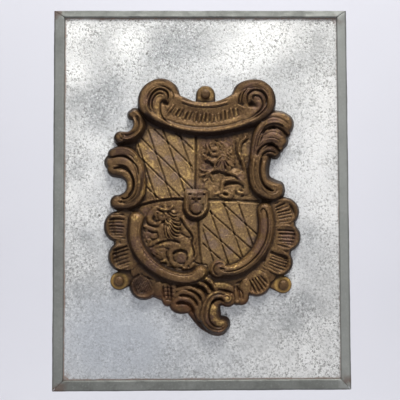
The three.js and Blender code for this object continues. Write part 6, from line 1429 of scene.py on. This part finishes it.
def plate_material():
    n = Nodes("white_metal")
    tone, calm_and_blue_reflection, joint, corner = n.attr("tone"), n.attr("calm_and_blue_reflection"), n.attr("joint"), n.attr("corner")
    cloud = n.noise(26, 5, 0.62, 0.4)
    cloud2 = n.noise(85, 4, 0.6, 0.2)
    grain = n.noise(900, 4, 0.7)
    grain2 = n.noise(2300, 2, 0.6)
    level = n.math("ADD", n.math("MULTIPLY", tone, 1.25), n.math("MULTIPLY", n.math("SUBTRACT", cloud, 0.5), 0.9))
    level = n.math("ADD", level, n.math("MULTIPLY", n.math("SUBTRACT", cloud2, 0.5), 0.7))
    shade = n.ramp(level, -0.8, 0.7)
    color = n.mix(shade, srgb(170, 171, 170), srgb(252, 251, 247))
    # smooth low on the left and round the casting, with a painted bluish reflection there
    color = n.mix(n.math("MULTIPLY", calm_and_blue_reflection, 0.55), color, srgb(204, 210, 219))
    # fine dark pitting, densest where the metal is not calm
    stipple = n.math("ADD", n.math("MULTIPLY", grain, 0.65), n.math("MULTIPLY", grain2, 0.35))
    pits = n.ramp(stipple, 0.49, 0.60)
    amount = n.math("MULTIPLY", n.ramp(calm_and_blue_reflection, 0, 1, 1.0, 0.4, smooth=False), n.ramp(cloud2, 0.3, 0.65, 0.45, 0.95))
    color = n.mix(n.math("MULTIPLY", pits, n.math("MULTIPLY", amount, 0.95)), color, srgb(106, 105, 102))
    # painted glints: bright specks on the pitted metal, where it would catch the light
    painted_glints = n.math("MULTIPLY", n.ramp(stipple, 0.47, 0.40), amount)
    color = n.mix(n.math("MULTIPLY", painted_glints, 0.8), color, srgb(255, 255, 253))
    # scattered darker spots
    for scale, keep, low, high, strength in ((75, 0.76, 0.012, 0.06, 0.8), (240, 0.80, 0.03, 0.12, 0.6)):
        pick = n.separate(n.voronoi(scale, out="Color"))
        size = n.ramp(pick[1], 0, 1, low, high)
        dot = n.math("MULTIPLY", n.math("LESS_THAN", n.voronoi(scale), size), n.math("GREATER_THAN", pick[0], keep))
        color = n.mix(n.math("MULTIPLY", dot, strength), color, srgb(84, 82, 78))
    # rust and dirt creeping in from under the strips and at the corners; the line along the strips' inner edges,
    # strongest at the left and bottom, also paints the shadow of the step there
    edge = n.ramp(n.math("ADD", joint, n.math("MULTIPLY", n.math("SUBTRACT", cloud2, 0.5), 0.9)), 0.3, 0.85)
    spread = n.ramp(n.math("ADD", corner, n.math("MULTIPLY", n.math("SUBTRACT", grain, 0.5), 0.8)), 0.22, 0.7)
    rusty = n.math("MAXIMUM", n.math("MULTIPLY", edge, 0.8), n.math("MULTIPLY", spread, 0.7))
    rust = n.mix(n.ramp(grain, 0.4, 0.6), srgb(84, 58, 44), srgb(138, 104, 84))
    color = n.mix(rusty, color, rust)
    rough = n.math("ADD", n.ramp(stipple, 0.4, 0.62, 0.4, 0.52), n.math("MULTIPLY", calm_and_blue_reflection, -0.06))
    metallic = n.math("SUBTRACT", 0.55, n.math("MULTIPLY", rusty, 0.55), clamp=True)
    bump = n.bump(n.math("MULTIPLY", pits, -1.0), 0.45, 0.0002)
    return n.finish(color, rough, metallic, bump)


sheet = plate()
sheet.data.materials.append(plate_material())
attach(sheet, "root")
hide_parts("backing_plate")


# ------------------------------------------------------------------ the edging strips
def strip_section(width, top_in, top_out, wall, plate_front):
    """Closed L section as [inwards, up from the wall plane], the outer edge rounded."""
    r = 1.25
    pts = [(0.0, 0.0), (wall, 0.0), (wall, plate_front), (width, plate_front)]
    pts += [(width, top_in - 0.45), (width - 0.12, top_in - 0.16), (width - 0.4, top_in - 0.02)]
    n = 9
    for i in range(1, n):
        t = i / n
        pts.append((width - 0.4 + (r + 0.1 - width + 0.4) * t, top_in + (top_out - top_in) * t))
    for i in range(0, 9):
        a = i / 8 * math.pi / 2
        pts.append((r * (1 - math.sin(a)) + 0.02, top_out - r * (1 - math.cos(a))))
    pts.append((0.02, 1.6))
    return pts


def strip(name, width, length, start, end, inwards, along, corner, seed):
    pts = strip_section(width, 4.5, 4.15, 1.2, PLATE_T + 0.3)
    m = len(pts)
    count = 260
    rng = np.random.default_rng(seed)
    inw, alo, cor = np.array(inwards, float), np.array(along, float), np.array(corner, float)
    up = np.array([0, -1.0, 0])
    verts = []
    dents = np.column_stack([rng.uniform(6, length - 6, 14), rng.uniform(0.5, width, 14), rng.uniform(1.2, 4, 14), rng.uniform(0.05, 0.22, 14)])
    for k in range(count + 1):
        t = k / count
        for q, (u, v) in enumerate(pts):
            s0, s1 = u * start + 0.15, length - u * end - 0.15
            w = s0 + (s1 - s0) * t
            uu, vv = u, v
            if v > PLATE_T + 0.35 or u < 0.6:
                lowering = 0.05 * (1 + math.sin(w * 0.11 + seed)) + 0.03 * (1 + math.sin(w * 0.37 + 2 * seed))
                for dw, du, dr, dd in dents:
                    lowering += dd * math.exp(-((w - dw) ** 2 + (u - du) ** 2 * 2.5) / dr ** 2)
                if v > 2.2:
                    vv = v - min(lowering, 0.35) * min(1, (v - 2.2) / 1.5)
                if u > width - 0.5:
                    uu = u - 0.10 * (1 + math.sin(w * 0.23 + seed) * math.sin(w * 0.071 + 3 * seed)) - 0.04 * (1 + math.sin(w * 1.3))
                if u < 0.3 and v > 0.5:
                    uu = u + 0.05 * (1 + math.sin(w * 0.17 + 2 * seed)) + 0.02 * (1 + math.sin(w * 0.9))
                # softly rounded ends
                e = min(w - s0, s1 - w)
                vv -= 0.12 * math.exp(-e / 0.5) if v > 2.2 else 0
            p = cor + inw * uu + up * vv + alo * w
            verts.append(p * MM)
    faces = []
    for k in range(count):
        for q in range(m):
            a, b = k * m + q, k * m + (q + 1) % m
            faces.append((a, b, b + m, a + m))
    faces.append([q for q in range(m)])
    faces.append([count * m + q for q in range(m)][::-1])
    ob = new_mesh(name + "_folded", verts, faces)
    import bmesh
    bm = bmesh.new()
    bm.from_mesh(ob.data)
    bmesh.ops.triangulate(bm, faces=[f for f in bm.faces if len(f.verts) > 4])
    bmesh.ops.recalc_face_normals(bm, faces=bm.faces)
    bm.to_mesh(ob.data)
    bm.free()
    ob.data.polygons.foreach_set("use_smooth", np.ones(len(ob.data.polygons), bool))
    ob.data.set_sharp_from_angle(angle=math.radians(50))
    return ob


def strip_material(name):
    n = Nodes(name)
    x, y, z = n.separate()[0:3]
    big, mid, fine = n.noise(40, 4, 0.6), n.noise(170, 4, 0.6), n.noise(900, 3, 0.6)
    color = n.mix(n.ramp(big, 0.3, 0.7), srgb(112, 114, 109), srgb(130, 132, 127))
    color = n.mix(n.math("MULTIPLY", n.ramp(fine, 0.5, 0.7), 0.35), color, srgb(152, 154, 149))
    color = n.mix(n.math("MULTIPLY", n.ramp(mid, 0.52, 0.72), 0.4), color, srgb(92, 93, 89))
    ax, az = n.math("ABSOLUTE", x), n.math("ABSOLUTE", z)
    # painted light: the upright strips drawn a little lighter, the right one most
    color = n.mix(n.math("MAXIMUM", n.ramp(x, 0.070, 0.0724, 0, 0.38), n.ramp(x, -0.0718, -0.0724, 0, 0.16)), color, srgb(172, 174, 170))
    # painted shade along the outer rounded edge, where it turns away from the light
    out = n.math("MAXIMUM", n.ramp(ax, 0.0762, 0.0776), n.ramp(az, 0.0985, 0.0999))
    color = n.mix(n.math("MULTIPLY", out, 0.6), color, srgb(64, 65, 62))
    # rust and dirt by the inner edge and in the corners
    corner = n.math("MULTIPLY", n.ramp(ax, 0.0685, 0.0735), n.ramp(az, 0.0905, 0.0955))
    joint = n.math("MULTIPLY", corner, n.ramp(mid, 0.42, 0.62))
    color = n.mix(n.math("MULTIPLY", joint, 0.6), color, srgb(92, 62, 46))
    rough = n.ramp(mid, 0.3, 0.7, 0.5, 0.68)
    bump = n.bump(n.math("ADD", n.math("MULTIPLY", mid, 0.6), n.math("MULTIPLY", fine, 0.4)), 0.35, 0.0003)
    return n.finish(color, rough, 0.45, bump)


W = WIDTHS
grey = strip_material("grey_metal")
for name, args in {
    "edge_strip_left": (W["left"], 2 * HZ, W["bottom"] / W["left"], W["top"] / W["left"], (1, 0, 0), (0, 0, 1), (-WX, 0, -HZ), 3),
    "edge_strip_right": (W["right"], 2 * HZ, W["bottom"] / W["right"], W["top"] / W["right"], (-1, 0, 0), (0, 0, 1), (WX, 0, -HZ), 5),
    "edge_strip_top": (W["top"], 2 * WX, W["left"] / W["top"], W["right"] / W["top"], (0, 0, -1), (1, 0, 0), (-WX, 0, HZ), 7),
    "edge_strip_bottom": (W["bottom"], 2 * WX, W["left"] / W["bottom"], W["right"] / W["bottom"], (0, 0, 1), (1, 0, 0), (-WX, 0, -HZ), 9),
}.items():
    ob = strip(name, *args)
    ob.data.materials.append(grey)
    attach(ob, "root")
    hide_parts(name)

# ------------------------------------------------------------------ stage, light, camera
def backdrop():
    """Pale floor that sweeps up into a pale wall well behind the plaque."""
    prof = [(-2.6, -0.62), (0.35, -0.62)]
    for i in range(1, 13):
        a = i / 12 * math.pi / 2
        prof.append((0.35 + 0.5 * math.sin(a), -0.62 + 0.5 * (1 - math.cos(a))))
    prof.append((0.85, 2.6))
    verts, faces = [], []
    for x in (-3.0, 3.0):
        verts += [(x, y, z) for y, z in prof]
    m = len(prof)
    for k in range(m - 1):
        faces.append((k, k + 1, m + k + 1, m + k))
    ob = new_mesh("studio_backdrop", verts, faces)
    n = Nodes("backdrop_paint")
    ob.data.materials.append(n.finish(n.mix(n.ramp(n.noise(3, 2), 0.3, 0.7), srgb(230, 230, 236), srgb(227, 227, 233)), 0.9, 0.0))


backdrop()


def area(name, place, target, size, power, color=(1, 1, 1), size_y=None):
    light = bpy.data.lights.new(name, "AREA")
    light.energy, light.color, light.size = power, color, size
    if size_y:
        light.shape, light.size_y = "RECTANGLE", size_y
    ob = bpy.data.objects.new(name, light)
    ob.location = place
    ob.rotation_mode = "QUATERNION"
    ob.rotation_quaternion = (Vector(target) - Vector(place)).to_track_quat("-Z", "Y")
    scene.collection.objects.link(ob)
    return ob


area("key", (0.15, -0.58, 0.95), (0, 0, 0.0), 0.42, 12.8, (1.0, 0.99, 0.965))
area("front", (-0.3, -1.4, 0.35), (0, 0, 0), 1.2, 2.4, (0.96, 0.98, 1.0))
area("wall_wash", (0.0, 0.2, 1.3), (0, 0.85, 0.4), 1.2, 5.3, (0.985, 0.985, 1.0))
world = bpy.data.worlds.new("studio")
scene.world = world
world.use_nodes = True
world.node_tree.nodes["Background"].inputs["Color"].default_value = (0.95, 0.96, 1.0, 1)
world.node_tree.nodes["Background"].inputs["Strength"].default_value = 0.42

# camera solved from the plaque's four outer corners
FOV, ROT, T = 33.0, np.radians([-2.62, 0.70, 0.19]), np.array([0.66, 0.95, -353.92])
cx, sx, cy, sy, cz, sz = (f(v) for v in ROT for f in (math.cos, math.sin))
RX = np.array([[1, 0, 0], [0, cx, -sx], [0, sx, cx]])
RY = np.array([[cy, 0, sy], [0, 1, 0], [-sy, 0, cy]])
RZ = np.array([[cz, -sz, 0], [sz, cz, 0], [0, 0, 1]])
R = RZ @ RY @ RX
place = -R.T @ T
turn = lambda v: np.array([v[0], -v[2], v[1]])   # plate axes (right, up, out) to the row frame
axes = np.stack([turn(R[0]), turn(R[1]), turn(R[2])], 1)
cam_data = bpy.data.cameras.new("camera")
cam_data.angle = math.radians(FOV)
cam_data.clip_start, cam_data.clip_end = 0.01, 20
camera = bpy.data.objects.new("camera", cam_data)
M = Matrix.Identity(4)
for r in range(3):
    for q in range(3):
        M[r][q] = float(axes[r, q])
    M[r][3] = float((turn(place) + np.array([0, -4.0, 0]))[r] * MM)
camera.matrix_world = M
scene.collection.objects.link(camera)
scene.camera = camera
